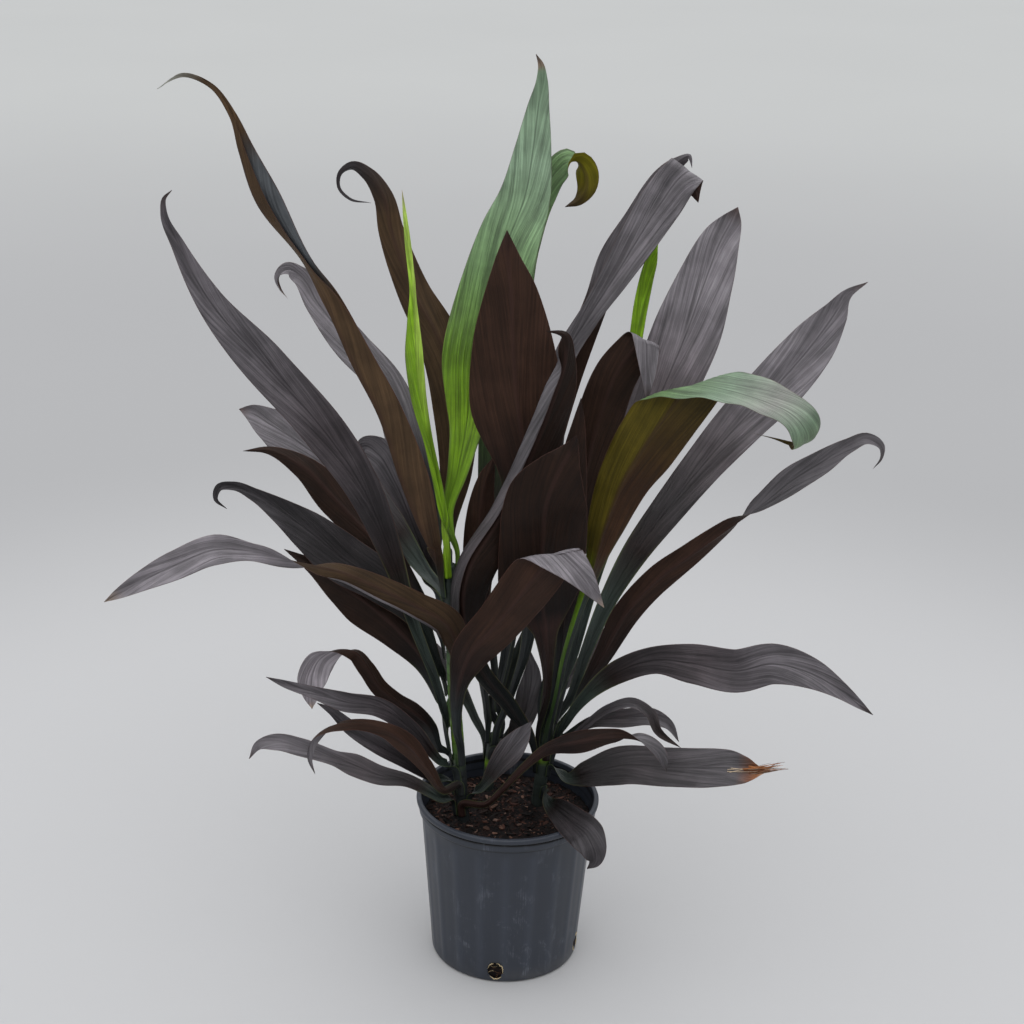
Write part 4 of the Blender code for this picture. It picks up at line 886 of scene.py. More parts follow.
def floor_material():
    """Pale studio floor, with the faintest mottle and a darker ring further off that paints the shade of the
    studio's sweep.
    """
    shader = Shader("floor_paper", roughness=0.75, specular=0.2)
    place, _, _, _ = shader.object_place()
    cloud = shader.noise(place, 0.9, 2.0)
    away = shader.add("ShaderNodeVectorMath", {0: place}, operation="LENGTH").outputs["Value"]
    # Painted shade: the floor darkens in a ring further off, then pales again at the back
    tone = shader.mix(shader.ramp(away, 1.0, 2.2), paint(FLOOR_NEAR), paint(FLOOR_SHADE_RING))
    tone = shader.mix(shader.ramp(away, 3.0, 7.5), tone, paint(FLOOR_FAR))
    return shader.surface(shader.scaled(tone, shader.swing(cloud, 0.04)))


# Meshes
def linked(name, data):
    """A mesh, a camera or a light as an object in the scene."""
    item = bpy.data.objects.new(name, data)
    bpy.context.scene.collection.objects.link(item)
    return item


def mesh_of(work, name):
    """A bmesh made into a mesh, its faces turned outward."""
    bmesh.ops.recalc_face_normals(work, faces=work.faces[:])
    mesh = bpy.data.meshes.new(name)
    work.to_mesh(mesh)
    work.free()
    return mesh


def new_piece(name, verts, faces, materials, face_slots=None, attributes=()):
    """A smooth mesh object with its materials and point attributes."""
    mesh = bpy.data.meshes.new(name)
    mesh.from_pydata([tuple(v) for v in verts], [], [tuple(f) for f in faces])
    for material in materials:
        mesh.materials.append(material)
    if face_slots is not None:
        mesh.polygons.foreach_set("material_index", np.asarray(face_slots, dtype=np.int32))
    for key, kind, values in attributes:
        layer = mesh.attributes.new(key, kind, "POINT")
        field = "color" if kind == "FLOAT_COLOR" else "vector"
        layer.data.foreach_set(field, np.asarray(values, dtype=np.float32).ravel())
    mesh.shade_smooth()
    mesh.update()
    return linked(name, mesh)


def toned_piece(name, verts, faces, material, tones):
    """A mesh object of one material that takes its colour from each point's tone."""
    return new_piece(name, verts, faces, [material], None, [("tone", "FLOAT_COLOR", tones)])


def ring_faces(count, sides, base=0, other_way=False):
    """Quads between rings of points that follow one another in a mesh's list, wound either way."""
    faces = []
    for i in range(count - 1):
        near = base + i * sides
        far = near + sides
        for j in range(sides):
            k = (j + 1) % sides
            faces.append((near + j, far + j, far + k, near + k) if other_way
                         else (near + j, near + k, far + k, far + j))
    return faces


def place_piece(item, slot, *nodes):
    """Attach a piece to the root body and hide the solids of the nodes that it stands for. The slot is not
    used.
    """
    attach(item, "root")
    if nodes:
        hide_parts(*nodes)


def tone_at(stops, stage, share):
    """Colours for a list of stops at the given stages and places across the blade."""
    knots = [stop[0] for stop in stops]
    left = np.array([light_of(PALETTE[stop[1]]) for stop in stops])
    right = np.array([light_of(PALETTE[stop[-1]]) for stop in stops])
    across = smooth(-0.15, 0.15, share)[..., None]
    first = np.stack([np.interp(stage, knots, left[:, i]) for i in range(3)], axis=-1)
    second = np.stack([np.interp(stage, knots, right[:, i]) for i in range(3)], axis=-1)
    return first * (1 - across) + second * across


def bent(sheets, stage, line):
    """Both sheets with all that lies beyond a line rolled over it, round a small radius."""
    first, second, depth, angle, radius, way, begin = line
    angle, radius = math.radians(angle), radius * MM
    start = np.array(seen_at(*first, depth * MM))
    along = np.array(seen_at(*second, depth * MM)) - start
    along /= np.linalg.norm(along)
    facing = np.array(EYE) - start
    facing -= along * (facing @ along)
    facing /= np.linalg.norm(facing)
    beyond = np.cross(along, facing)
    tip = sheets[0, -1, sheets.shape[2] // 2]
    beyond *= math.copysign(1.0, (tip - start) @ beyond)
    facing *= way
    offset = sheets - start
    level, reach, rise = offset @ along, offset @ beyond, offset @ facing
    rolled = (stage > begin)[:, None]
    near = (np.abs(reach) < BEND_NEAR) & rolled
    crease = np.polyfit(level[near], rise[near], 3)
    crease_rise = np.polyval(crease, np.clip(level, level[near].min(), level[near].max()))
    rise = rise - crease_rise
    turn = np.clip(reach / radius, 0.0, angle)
    rest = np.maximum(reach - radius * angle, 0.0)
    new_reach = np.sin(turn) * (radius - rise) + rest * np.cos(turn)
    new_rise = crease_rise + radius - (radius - rise) * np.cos(turn) + rest * np.sin(turn)
    moved = (start + level[..., None] * along + new_reach[..., None] * beyond
             + new_rise[..., None] * facing)
    return np.where(((reach > 0) & rolled)[..., None], moved, sheets)


def roll_margin(roll, u, x, lift, half, stage):
    """One margin turned back over the under face: its places across, its lift and how far it faces back."""
    side, begin, low, high = roll
    amount = float(smooth(low, low + ROLL_EASE, stage) * (1 - smooth(high - ROLL_EASE, high, stage)))
    over = np.clip(u * side - begin, 0.0, None) * half
    turned = ROLL_TURN * amount
    rolled = side * (begin * half + over * math.cos(turned))
    raised = np.interp(rolled, x, lift) - over * math.sin(turned) - ROLL_AIR * amount
    facing = np.where(over > 0, math.cos(turned), 1.0)
    return np.where(over > 0, rolled, x), np.where(over > 0, raised, lift), facing


def close_blade(closed, u, x, lift, half, stage):
    """Both halves laid to the same side of the midrib, the near one in front."""
    side, stages, near, far = closed
    amount = float(smooth(stages[0], stages[0] + CLOSE_EASE, stage) * (1 - smooth(1.96, 2.0, stage)))
    near_reach = np.interp(stage, stages, near)
    far_reach = np.interp(stage, stages, far)
    reach = np.where(u < 0, near_reach, far_reach)
    shut = side * half * (1 - 2 * np.abs(u) * reach)
    spread = np.where(u < 0, -1.0, 1.0) * np.sqrt(np.abs(u)) * CLOSED_SPREAD * half
    return x * (1 - amount) + shut * amount, lift * (1 - amount) + spread * amount


def leaf_rows(name, leaf):
    """A leaf read at many rows: run from its base, middle, direction, half width, turn, stage, length."""
    points, halves, turns = leaf_route(leaf)
    halves[-1] = TIP_HALF
    knots = path_knots(points)
    length = knots[-1]
    share = np.linspace(0.0, 1.0, (BEND_ROWS if name in BENDS else LEAF_ROWS) + 1)
    by_station = np.interp(share * (len(knots) - 1), np.arange(len(knots)), knots)
    run = (1 - STATION_PULL) * share * length + STATION_PULL * by_station
    middle = rounded(knots, points, run)
    step = length / 400
    tangent = rounded(knots, points, np.minimum(run + step, length))
    tangent = tangent - rounded(knots, points, np.maximum(run - step, 0.0))
    tangent /= np.linalg.norm(tangent, axis=1, keepdims=True)
    half = flowing(knots, halves, run)
    turn = np.radians(flowing(knots, turns, run))
    start = run[np.argmax(half > BLADE_BEGINS * half.max())]
    stage = np.where(run < start, run / start, 1 + (run - start) / (length - start))
    return run, middle, tangent, half, turn, stage, length


def path_knots(points):
    """How far along its path each point lies."""
    return np.concatenate([[0.0], np.cumsum(np.linalg.norm(np.diff(points, axis=0), axis=1))])


def blade_section(name, leaf, u, run, half, stage, length, ripple):
    """A row of a leaf: places across, lift towards the upper face and how far the sheet faces up."""
    _, _, _, fold, (wave_height, waves), _ = leaf
    opening = min(run / (3 * SHEATH_RISE), 1.0)
    narrow = max(0.0, 1.0 - half / (2 * CHANNEL_HALF))
    opening *= min(half / FLAT_HALF, 1.0)
    tilt = math.tan(math.radians(fold + (CHANNEL_FOLD - fold) * narrow)) * opening
    swing = math.sin(2 * math.pi * waves * run / length)
    fold_over = np.sqrt(u * u + CREASE ** 2) - CREASE
    wide = smooth(8 * MM, 20 * MM, half)
    lift = half * (fold_over * tilt + wave_height * swing * u * np.abs(u) * opening)
    lift = lift + RIPPLE * wide * ripple * np.abs(u) ** 3 * min(half, 30 * MM)
    x = u * half
    facing = np.ones_like(u)
    if name in ROLLS:
        x, lift, facing = roll_margin(ROLLS[name], u, x, lift, half, stage)
    if name in CLOSED:
        x, lift = close_blade(CLOSED[name], u, x, lift, half, stage)
    return x, lift, facing


def sheet_faces(rows, columns):
    """Faces of two sheets of points and of the rim between them, with the material slot of each."""
    number = np.arange(rows * columns).reshape(rows, columns)
    top = np.stack([number[:-1, :-1], number[:-1, 1:], number[1:, 1:], number[1:, :-1]], axis=-1)
    top = top.reshape(-1, 4)
    other = top[:, ::-1] + rows * columns
    ring = np.concatenate([number[0, :], number[1:, -1], number[-1, -2::-1], number[-2:0:-1, 0]])
    after = np.roll(ring, -1)
    rim = np.stack([after, ring, ring + rows * columns, after + rows * columns], axis=-1)
    slots = np.concatenate([np.zeros(len(top)), np.ones(len(other)), np.zeros(len(rim))])
    return np.concatenate([top, other, rim]), slots


def blade_tones(name, stage, u):
    """The colours of both sheets' points, with a paler edge along the stalk."""
    edge = light_of(PALETTE["stalk_edge"])
    edge_share = 0.55 * (smooth(0.86, 0.97, np.abs(u)) * (1 - smooth(0.8, 1.1, stage)))[..., None]
    tones = []
    for stops, shade in zip(LOOKS.get(name, (PURPLE_TOP, PURPLE_BACK)), SHADES.get(name, (1.0, 1.0))):
        tone = tone_at(stops, stage, u)
        tone = tone * (1 - edge_share) + edge * edge_share
        tones.append(np.concatenate([tone.reshape(-1, 3) * shade, np.ones((stage.size, 1))], axis=1))
    return np.concatenate(tones)


def fine_leaf(name, leaf, index, materials):
    """One leaf in fine mesh: an upper and an under sheet over the same route as its solid."""
    run, middle, tangent, half, turn, stage, length = leaf_rows(name, leaf)
    u = np.array([-place for place in reversed(ACROSS[1:])] + list(ACROSS))
    rows, columns = len(run), len(u)
    rng = np.random.default_rng(100 + index)
    ripple_run = rng.uniform(*RIPPLE_RUNS, 2) * MM
    ripple_phase = rng.uniform(0, 2 * math.pi, 2)
    sheets = np.empty((2, rows, columns, 3))
    for i in range(rows):
        across, facing = leaf_frame(middle[i], tangent[i])
        sideways = across * math.cos(turn[i]) + facing * math.sin(turn[i])
        upper = facing * math.cos(turn[i]) - across * math.sin(turn[i])
        left, right = np.sin(2 * math.pi * run[i] / ripple_run + ripple_phase)
        ripple = np.where(u < 0, left, right)
        x, lift, face_side = blade_section(name, leaf, u, run[i], half[i], stage[i], length, ripple)
        stalk = min(STALK_THICK, 0.5 * half[i]) * (1 - smooth(0.75, 1.25, stage[i]))
        rib = min(MIDRIB_THICK, 0.12 * half[i]) * (1 - smooth(1.2, 1.95, stage[i]))
        sheet = SHEET * (1 - 0.55 * u ** 4) * min(1.0, half[i] / (3 * MM)) * face_side
        groove = 0.35 * rib * np.exp(-(x / (0.5 * MIDRIB_WIDE)) ** 2)
        ridge = rib * np.exp(-(x / MIDRIB_WIDE) ** 2)
        line = middle[i] + np.outer(x, sideways)
        sheets[0, i] = line + np.outer(lift + sheet / 2 - groove, upper)
        sheets[1, i] = line + np.outer(lift - sheet / 2 - stalk * (1 - u ** 2) - ridge, upper)
    for line in BENDS.get(name, []):
        sheets = bent(sheets, stage, line)
    faces, slots = sheet_faces(rows, columns)
    u_grid = np.tile(u, (rows, 1))
    run_grid, half_grid, stage_grid = (np.tile(row[:, None], (1, columns)) for row in (run, half, stage))
    spread = np.stack([u_grid, run_grid + 3.7 * index, half_grid], axis=-1).reshape(-1, 3)
    attributes = [("tone", "FLOAT_COLOR", blade_tones(name, stage_grid, u_grid)),
                  ("leaf", "FLOAT_VECTOR", np.concatenate([spread, spread]))]
    item = new_piece(name + "_blade", sheets.reshape(-1, 3), faces, materials, slots, attributes)
    place_piece(item, name, name)


def fine_cane(name, material):
    """A cane with ring scars where old leaves have dropped."""
    radius, points = CANES[name]
    points = np.array(points, dtype=float) * MM
    knots = path_knots(points)
    rows = int(knots[-1] / (1.2 * MM))
    run = np.linspace(0, knots[-1], rows + 1)
    middle = np.stack([np.interp(run, knots, points[:, i]) for i in range(3)], axis=-1)
    steps = 40
    turn = np.linspace(0, 2 * math.pi, steps, endpoint=False)
    scars = np.exp(-((np.mod(run, SCAR_SPACING) - 8 * MM) / SCAR_HALF) ** 2)
    verts = []
    for i in range(rows + 1):
        size = radius * MM * (0.97 - 0.05 * scars[i] + 0.015 * np.sin(3 * turn + 40 * run[i]))
        verts.append(middle[i] + np.stack([size * np.cos(turn), size * np.sin(turn), 0 * turn], axis=-1))
    verts = np.concatenate(verts)
    faces = ring_faces(rows + 1, steps)
    faces.append(tuple(range(steps - 1, -1, -1)))
    faces.append(tuple(rows * steps + j for j in range(steps)))
    stage = np.repeat(run / knots[-1], steps)
    tone = tone_at(CANE_TONES if name == "cane_left" else DULL_CANE_TONES, stage, np.zeros_like(stage))
    tone *= (1 - 0.35 * np.repeat(scars, steps))[:, None]
    tone = np.concatenate([tone, np.ones((len(tone), 1))], axis=1)
    place_piece(toned_piece(name + "_stem", verts, faces, material, tone), name, name)


def burnt_strands(material):
    """The dried tip of the burnt leaf, torn into thin strands: pale ones on the blade, others free."""
    rng = np.random.default_rng(23)
    verts, faces, tones = [], [], []
    for k in range(LYING_STRANDS + FREE_STRANDS):
        lying = k < LYING_STRANDS
        if lying:
            across = np.linspace(rng.uniform(*LYING_BEGIN), LYING_END, STRAND_POINTS)
        else:
            across = np.linspace(rng.uniform(*FREE_BEGIN), rng.uniform(*FREE_END), STRAND_POINTS)
        begin = rng.uniform(*STRAND_BEGIN_DOWN)
        end = rng.uniform(*(LYING_END_DOWN if lying else FREE_END_DOWN))
        sway = rng.uniform(-1.5, 1.5) * np.sin(np.linspace(0, math.pi, STRAND_POINTS))
        down = np.linspace(begin, end, STRAND_POINTS) + sway
        depth = -127 - 0.46 * (across - 728) - (4.5 if lying else rng.uniform(0, 5))
        path = [np.array(seen_at(*spot)) for spot in zip(across, down, depth * MM)]
        radii = np.linspace(1.0, 0.25, STRAND_POINTS) * rng.uniform(0.4, 0.6 if lying else 1.3) * MM
        new_verts, new_faces = tube(path, radii, 5)
        faces += [tuple(len(verts) + i for i in face) for face in new_faces]
        verts += list(new_verts)
        tone = light_of(PALETTE["burnt_pale" if lying else ("burnt", "burnt_dark", "tip_brown")[k % 3]])
        tones += [(*tone, 1.0)] * len(new_verts)
    place_piece(toned_piece("burnt_strands", verts, faces, material, tones), "leaf_burnt_tip")


# Pot
def wall_radius(height):
    """The outside radius of the pot's plain wall at a height."""
    top = RIM_RADIUS - LIP_OVERHANG - COLLAR_STEP
    return FOOT_RADIUS + (top - FOOT_RADIUS) * height / POT_HEIGHT


def pot_profile():
    """The pot's section, finer than the solid's: down the outside from the lip, and back up the inside."""
    lip_foot = POT_HEIGHT - LIP_HEIGHT
    collar_top = lip_foot - GROOVE
    collar_foot = POT_HEIGHT - LIP_HEIGHT - COLLAR_HEIGHT
    collar = RIM_RADIUS - LIP_OVERHANG
    inner = wall_radius(POT_HEIGHT) - WALL
    bulge = LIP_HEIGHT / 2
    lip_steps = [math.radians(angle) for angle in range(0, 181, 15)]
    outside = [(RIM_RADIUS - LIP_BEAD + LIP_BEAD * math.sin(a) ** 0.8, lip_foot + bulge + bulge * math.cos(a))
               for a in lip_steps]
    outside[-1] = (RIM_RADIUS - 2.6 * MM, lip_foot)
    outside += [
        (collar - 1.4 * MM, lip_foot + 0.1 * MM),
        (collar - 1.6 * MM, lip_foot - 0.6 * MM),
        (collar - 1.5 * MM, collar_top + 0.2 * MM),
        (collar - 0.6 * MM, collar_top - 0.2 * MM),
        (collar, collar_top - 0.9 * MM),
        (collar + 0.2 * MM, collar_top - 3.0 * MM),
        (collar, collar_foot + 3.0 * MM),
        (collar - 0.3 * MM, collar_foot + 1.2 * MM),
        (wall_radius(collar_foot) + 0.2 * MM, collar_foot - 0.4 * MM),
        (wall_radius(collar_foot), collar_foot - 2 * MM),
    ]
    low = 2 * FOOT_ROUNDING
    for i in range(1, WALL_ROWS + 1):
        height = collar_foot - 2 * MM + (low - collar_foot + 2 * MM) * i / WALL_ROWS
        outside.append((wall_radius(height), height))
    for angle in range(15, 91, 15):
        a = math.radians(angle)
        outside.append((FOOT_RADIUS - FOOT_ROUNDING + FOOT_ROUNDING * math.cos(a),
                        FOOT_ROUNDING - FOOT_ROUNDING * math.sin(a)))
    outside += [(0.8 * FOOT_RADIUS, 0.6 * MM), (0.0, 0.6 * MM)]
    inside = [
        (0.0, WALL),
        (FOOT_RADIUS - FOOT_ROUNDING, WALL),
        (wall_radius(FOOT_ROUNDING) - WALL, FOOT_ROUNDING + 0.5 * MM),
        (wall_radius(SOIL_LEVEL) - WALL, SOIL_LEVEL),
        (inner - 0.2 * MM, POT_HEIGHT - 2 * MM),
        (inner + 0.4 * MM, POT_HEIGHT - 0.5 * MM),
        (inner + 1.5 * MM, POT_HEIGHT - 0.1 * MM),
    ]
    return outside, inside


def flute(radius, height, turn):
    """How far the wall is drawn in at a place: shallow upright flutes that fade at both ends."""
    collar_foot = POT_HEIGHT - LIP_HEIGHT - COLLAR_HEIGHT
    fade = float(smooth(FOOT_ROUNDING, 4 * FOOT_ROUNDING, height)
                 * (1 - smooth(collar_foot - 14 * MM, collar_foot - 3 * MM, height)))
    hollow = (0.5 + 0.5 * math.cos(FLUTES * turn)) ** 4
    return radius - FLUTE_DEPTH * fade * (1 - hollow)


def fine_pot(material):
    """The pot's shell turned in fine steps, fluted, with its drain holes cut through."""
    outside, inside = pot_profile()
    profile = outside + inside
    work = bmesh.new()
    rings = []
    for k, (radius, height) in enumerate(profile):
        if radius == 0.0:
            rings.append([work.verts.new((0.0, 0.0, height))] * POT_STEPS)
            continue
        ring = []
        for j in range(POT_STEPS):
            turn = 2 * math.pi * j / POT_STEPS
            size = flute(radius, height, turn) if k < len(outside) else radius
            ring.append(work.verts.new((size * math.cos(turn), size * math.sin(turn), height)))
        rings.append(ring)
    for k in range(len(rings)):
        first, second = rings[k], rings[(k + 1) % len(rings)]
        if profile[k][0] == 0.0 and profile[(k + 1) % len(rings)][0] == 0.0:
            continue
        for j in range(POT_STEPS):
            n = (j + 1) % POT_STEPS
            corners = []
            for vert in (first[j], second[j], second[n], first[n]):
                if vert not in corners:
                    corners.append(vert)
            work.faces.new(corners)
    mesh = mesh_of(work, "pot_shell")
    mesh.materials.append(material)
    mesh.shade_smooth()
    item = linked("pot_shell", mesh)
    cutters = [drain_cutter(index, angle) for index, angle in enumerate(DRAIN_ANGLES)]
    for cutter in cutters:
        boolean = item.modifiers.new("cut", "BOOLEAN")
        boolean.operation = "DIFFERENCE"
        boolean.solver = "EXACT"
        boolean.object = cutter
    evaluated = item.evaluated_get(bpy.context.evaluated_depsgraph_get())
    item.data = bpy.data.meshes.new_from_object(evaluated)
    item.data.name = "pot_shell_mesh"
    item.modifiers.clear()
    for cutter in cutters:
        bpy.data.objects.remove(cutter, do_unlink=True)
    place_piece(item, "pot", "pot")


def drain_frame(angle):
    """The middle of a drain hole and the directions out of it, along the wall and up."""
    angle = math.radians(angle)
    outward = Vector((math.cos(angle), math.sin(angle), 0.0))
    along = Vector((-math.sin(angle), math.cos(angle), 0.0))
    upward = Vector((0.0, 0.0, 1.0))
    return outward * DRAIN_RADIUS + upward * DRAIN_MIDDLE, outward, along, upward


def drain_cutter(index, angle):
    """An upright oval bar through the wall, a little uneven, as moulded and torn holes are."""
    middle, outward, along, upward = drain_frame(angle)
    rng = np.random.default_rng(40 + index)
    steps = 36
    reach = 0.5 * (1 + 0.05 * rng.standard_normal(steps))
    work = bmesh.new()
    rings = []
    for depth in (-7 * MM, 7 * MM):
        ring = []
        for j in range(steps):
            a = 2 * math.pi * j / steps
            place = (middle + along * (math.cos(a) * reach[j] * DRAIN_WIDTH)
                     + upward * (math.sin(a) * reach[j] * DRAIN_TALL) + outward * depth)
            ring.append(work.verts.new(place))
        rings.append(ring)
    for j in range(steps):
        n = (j + 1) % steps
        work.faces.new((rings[0][j], rings[0][n], rings[1][n], rings[1][j]))
    work.faces.new(rings[0][::-1])
    work.faces.new(rings[1])
    name = f"drain_cutter_{index}"
    return linked(name, mesh_of(work, name))


def tube(path, radii, sides=6):
    """Points and faces of a thin round strand along a path."""
    path = np.asarray(path)
    verts = []
    for i, point in enumerate(path):
        tangent = path[min(i + 1, len(path) - 1)] - path[max(i - 1, 0)]
        tangent = tangent / max(np.linalg.norm(tangent), 1e-9)
        helper = np.array([0.0, 0.0, 1.0]) if abs(tangent[2]) < 0.9 else np.array([1.0, 0.0, 0.0])
        first = np.cross(tangent, helper)
        first /= np.linalg.norm(first)
        second = np.cross(tangent, first)
        for j in range(sides):
            a = 2 * math.pi * j / sides
            verts.append(point + radii[i] * (first * math.cos(a) + second * math.sin(a)))
    faces = ring_faces(len(path), sides, other_way=True)
    faces.append(tuple(range(sides)))
    faces.append(tuple((len(path) - 1) * sides + j for j in reversed(range(sides))))
    return verts, faces


def drain_fibres(material):
    """Pale torn plastic round each drain hole and the fibrous roots that show in it."""
    rng = np.random.default_rng(7)
    verts, faces, tones = [], [], []

    def take(new_verts, new_faces, tone):
        base = len(verts)
        verts.extend(new_verts)
        faces.extend([tuple(base + k for k in face) for face in new_faces])
        tones.extend([(*light_of(tone), 1.0)] * len(new_verts))

    for angle in DRAIN_ANGLES:
        middle, outward, along, upward = drain_frame(angle)
        middle, outward = np.array(middle), np.array(outward)
        along, upward = np.array(along), np.array(upward)
        start = rng.uniform(0, 2 * math.pi)
        for part in range(3):
            begin = start + part * 2.1
            angles = np.linspace(begin, begin + rng.uniform(0.9, 1.7), 14)
            reach = 0.5 * (1 + 0.05 * rng.standard_normal(len(angles)))
            path = []
            for a, r in zip(angles, reach):
                rise = math.sin(a) * r * DRAIN_TALL
                side = math.cos(a) * r * DRAIN_WIDTH
                radius = wall_radius(DRAIN_MIDDLE + rise) - 0.2 * MM
                out = math.sqrt(max(radius ** 2 - side ** 2, 0.0)) - DRAIN_RADIUS
                path.append(middle + along * side + upward * rise + outward * out)
            thick = 0.5 * MM * (0.5 + np.sin(np.linspace(0, math.pi, len(path))))
            take(*tube(path, thick), ROOT_TONE)
        for strand in range(DRAIN_FIBRES):
            a = rng.uniform(0, 2 * math.pi)
            r = rng.uniform(0.1, 0.42)
            begin = middle + along * (math.cos(a) * r * DRAIN_WIDTH) + upward * (math.sin(a) * r * DRAIN_TALL)
            begin = begin - outward * rng.uniform(3.0, 7.0) * MM
            heading = rng.uniform(0, 2 * math.pi)
            bend = rng.uniform(-1.5, 1.5)
            path = [begin]
            for k in range(9):
                turn = heading + bend * k / 9
                path.append(path[-1] + (along * math.cos(turn) + upward * math.sin(turn)) * 1.0 * MM
                            + outward * rng.uniform(-0.3, 0.35) * MM)
            shade = rng.uniform(0.35, 1.0)
            tone = tuple(c * shade for c in (ROOT_TONE if strand % 3 == 0 else FIBRE_TONE))
            take(*tube(path, [rng.uniform(0.25, 0.5) * MM] * len(path), 5), tone)
    place_piece(toned_piece("drain_roots", verts, faces, material, tones), "soil")


# Soil
def soil_height(x, y, radius):
    """The height of the soil's top: the solid's low crown, with crumbs on it."""
    share = math.hypot(x, y) / radius
    lumps = math.sin(310 * x + 1.3) * math.sin(270 * y + 0.4) + 0.6 * math.sin(190 * x - 240 * y)
    smooth_top = SOIL_LEVEL + SOIL_CROWN * (1 - share ** 2) + SOIL_LUMP * lumps * (1 - share ** 4)
    crumbs = noise.noise(Vector((x, y, 0.0)) * 95) * 2.2 + noise.noise(Vector((x, y, 0.1)) * 260) * 1.6
    return smooth_top + crumbs * MM


def fine_soil(material):
    """The root ball's crumbly top and its plain side and foot."""
    side = wall_radius(SOIL_LEVEL) * (1 - SOIL_SHY) - WALL - 2 * CLEARANCE
    foot = wall_radius(2 * FOOT_ROUNDING) - FOOT_RADIUS * SOIL_SHY - WALL - 2 * CLEARANCE
    bottom = WALL + 2 * CLEARANCE
    verts = [(0.0, 0.0, soil_height(0.0, 0.0, side))]
    turns = [2 * math.pi * j / SOIL_STEPS for j in range(SOIL_STEPS)]
    for i in range(1, SOIL_RINGS + 1):
        radius = side * (i / SOIL_RINGS) ** 0.8
        for turn in turns:
            x, y = radius * math.cos(turn), radius * math.sin(turn)
            verts.append((x, y, soil_height(x, y, side)))
    shares = [k / SOIL_ROWS for k in range(1, SOIL_ROWS + 1)]
    levels = [(side + (foot - side) * share, SOIL_LEVEL + (2 * FOOT_ROUNDING - SOIL_LEVEL) * share)
              for share in shares]
    levels += [(foot - 0.5 * FOOT_ROUNDING, bottom + 2 * MM), (foot - FOOT_ROUNDING, bottom)]
    for radius, height in levels:
        for turn in turns:
            rough = 0.5 * MM * noise.noise(Vector((math.cos(turn) * 14, math.sin(turn) * 14, height * 120)))
            size = radius - abs(rough)
            verts.append((size * math.cos(turn), size * math.sin(turn), height))
    verts.append((0.0, 0.0, bottom))
    rings = SOIL_RINGS + len(levels)
    faces = [(0, 1 + j, 1 + (j + 1) % SOIL_STEPS) for j in range(SOIL_STEPS)]
    faces += ring_faces(rings, SOIL_STEPS, base=1, other_way=True)
    last = 1 + (rings - 1) * SOIL_STEPS
    faces += [(last + (j + 1) % SOIL_STEPS, last + j, len(verts) - 1) for j in range(SOIL_STEPS)]
    place_piece(new_piece("soil_ball", verts, faces, [material]), "soil", "soil")


def soil_chips(material):
    """Loose flakes of bark over the soil: uneven wedges of many sizes, lying nearly flat."""
    rng = np.random.default_rng(11)
    side = wall_radius(SOIL_LEVEL) - WALL - 3 * MM
    sides = 6
    verts, faces, tones = [], [], []
    for _ in range(CHIPS):
        radius = (side - 4 * MM) * math.sqrt(rng.uniform(0, 1))
        turn = rng.uniform(0, 2 * math.pi)
        x, y = radius * math.cos(turn), radius * math.sin(turn)
        long = rng.choice(CHIP_LENGTHS, p=CHIP_LENGTH_SHARES) * rng.uniform(0.7, 1.3) * MM
        wide = long * rng.uniform(0.18, 0.5)
        thick = min(long * rng.uniform(0.12, 0.35), 2.2 * MM)
        if radius + long / 2 > side:
            continue
        if any(math.hypot(x - p[1][0] * MM, y - p[1][1] * MM) < r * MM + long for r, p in CANES.values()):
            continue
        heading = rng.uniform(0, 2 * math.pi)
        ahead = Vector((math.cos(heading), math.sin(heading), rng.uniform(-0.35, 0.35))).normalized()
        across = ahead.cross(Vector((rng.uniform(-0.4, 0.4), rng.uniform(-0.4, 0.4), 1.0))).normalized()
        over = across.cross(ahead)
        middle = Vector((x, y, soil_height(x, y, side) + 0.35 * thick))
        base = len(verts)
        for level, swell in ((-0.5, 0.75), (0.5, 1.0)):
            for j in range(sides):
                a = 2 * math.pi * j / sides
                reach = swell * rng.uniform(0.7, 1.1)
                verts.append(middle + ahead * (math.cos(a) * reach * long / 2)
                             + across * (math.sin(a) * reach * wide / 2)
                             + over * (level * thick + rng.uniform(-0.1, 0.1) * thick))
        faces += ring_faces(2, sides, base)
        faces.append(tuple(base + j for j in reversed(range(sides))))
        faces.append(tuple(base + sides + j for j in range(sides)))
        tone = light_of(CHIP_TONES[int(rng.choice(len(CHIP_TONES), p=CHIP_TONE_SHARES))])
        tones.extend([(*(tone * rng.uniform(0.2, 0.9)), 1.0)] * (2 * sides))
    item = toned_piece("soil_chips", verts, faces, material, tones)
    item.data.shade_flat()
    place_piece(item, "soil")


# Studio
def add_camera():
    """The photograph's view: from EYE, level to within LEAN, tipped down by LOOK_DOWN."""
    right, up, forward = view_axes()
    camera = linked("camera", bpy.data.cameras.new("camera"))
    camera.data.sensor_width = 36
    camera.data.lens = 36 * FOCAL_PIXELS / FRAME_PIXELS
    camera.data.clip_end = 100
    turn = camera.matrix_world.copy()
    for row in range(3):
        turn[row][0] = right[row]
        turn[row][1] = up[row]
        turn[row][2] = -forward[row]
        turn[row][3] = EYE[row]
    camera.matrix_world = turn
    bpy.context.scene.camera = camera


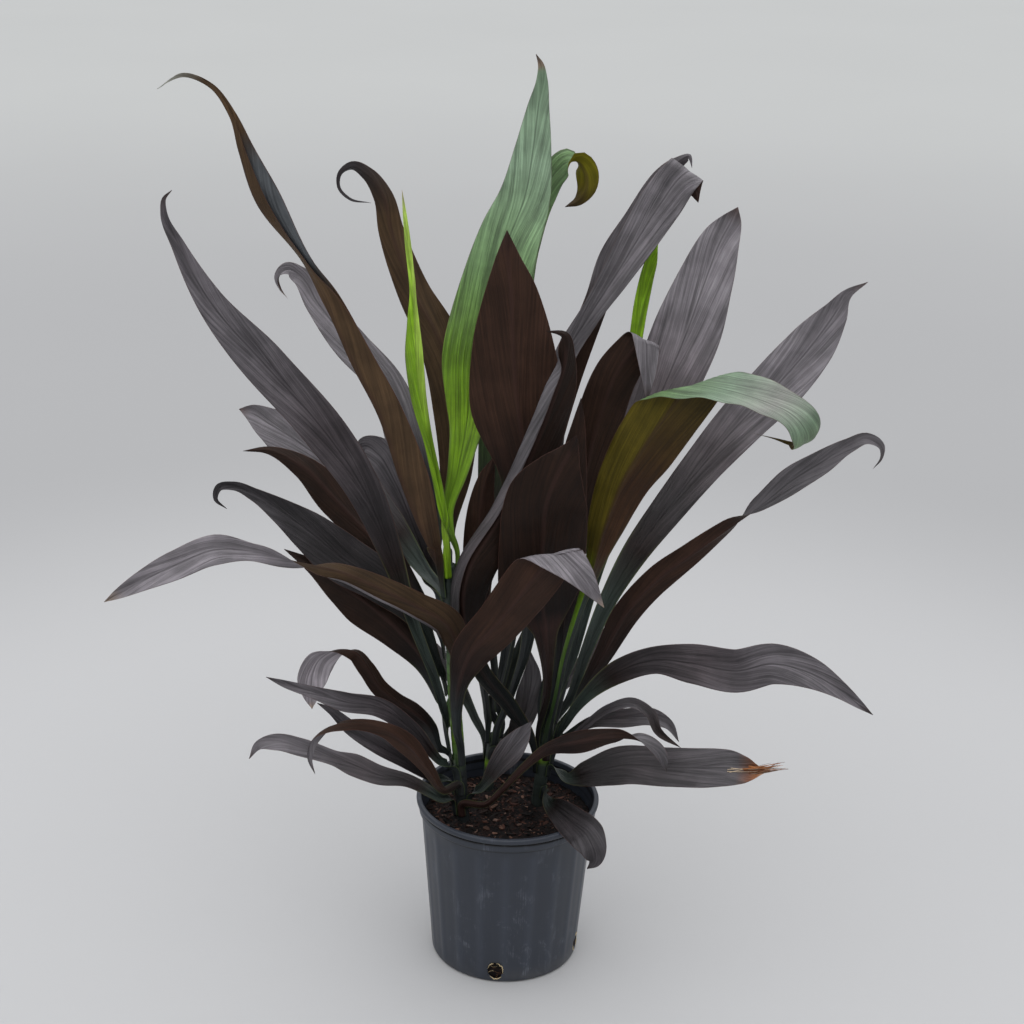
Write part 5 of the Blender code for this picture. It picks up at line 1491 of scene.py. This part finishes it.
def add_light(name, place, target, wide, tall, power):
    """A soft white rectangular light that points at a target."""
    data = bpy.data.lights.new(name, "AREA")
    data.shape = "RECTANGLE"
    data.size = wide
    data.size_y = tall
    data.energy = power
    light = linked(name, data)
    light.location = place
    light.rotation_euler = (Vector(target) - Vector(place)).to_track_quat("-Z", "Y").to_euler()


def add_studio():
    """A pale floor, a surround that brightens overhead and one soft light in front."""
    mesh = bpy.data.meshes.new("floor")
    corners = ((-1, -1), (1, -1), (1, 1), (-1, 1))
    mesh.from_pydata([(x * FLOOR_HALF, y * FLOOR_HALF, FLOOR_LEVEL) for x, y in corners], [], [(0, 1, 2, 3)])
    mesh.materials.append(floor_material())
    linked("floor", mesh)
    world = bpy.data.worlds.new("surround")
    bpy.context.scene.world = world
    world.use_nodes = True
    tree = world.node_tree
    back = tree.nodes["Background"]
    back.inputs["Color"].default_value = SKY_TINT
    aim = tree.nodes.new("ShaderNodeTexCoord")
    parts = tree.nodes.new("ShaderNodeSeparateXYZ")
    rise = tree.nodes.new("ShaderNodeMapRange")
    rise.interpolation_type = "SMOOTHSTEP"
    ranges = (("From Min", SKY_FROM), ("From Max", SKY_TO), ("To Min", SKY_LOW), ("To Max", SKY_HIGH))
    for key, value in ranges:
        rise.inputs[key].default_value = value
    tree.links.new(aim.outputs["Generated"], parts.inputs[0])
    tree.links.new(parts.outputs["Z"], rise.inputs["Value"])
    tree.links.new(rise.outputs["Result"], back.inputs["Strength"])
    add_light(*FRONT_LIGHT)
    bpy.context.scene.view_settings.view_transform = "Standard"


def main():
    """Dress every node and light the studio."""
    under = leaf_material("leaf_under_face", False, 0.16)
    faces = leaf_material("leaf_upper_face", True, 0.6), under
    dull_faces = leaf_material("leaf_dull_face", True, 0.22), under
    for index, (name, leaf) in enumerate(LEAVES.items()):
        fine_leaf(name, leaf, index, dull_faces if name in DULL_LEAVES else faces)
    stem = cane_material()
    for name in CANES:
        fine_cane(name, stem)
    fine_pot(pot_material())
    fine_soil(soil_material())
    loose = toned_material("loose_bark", 0.85, 0.5)
    soil_chips(loose)
    drain_fibres(loose)
    burnt_strands(loose)
    add_camera()
    add_studio()


main()
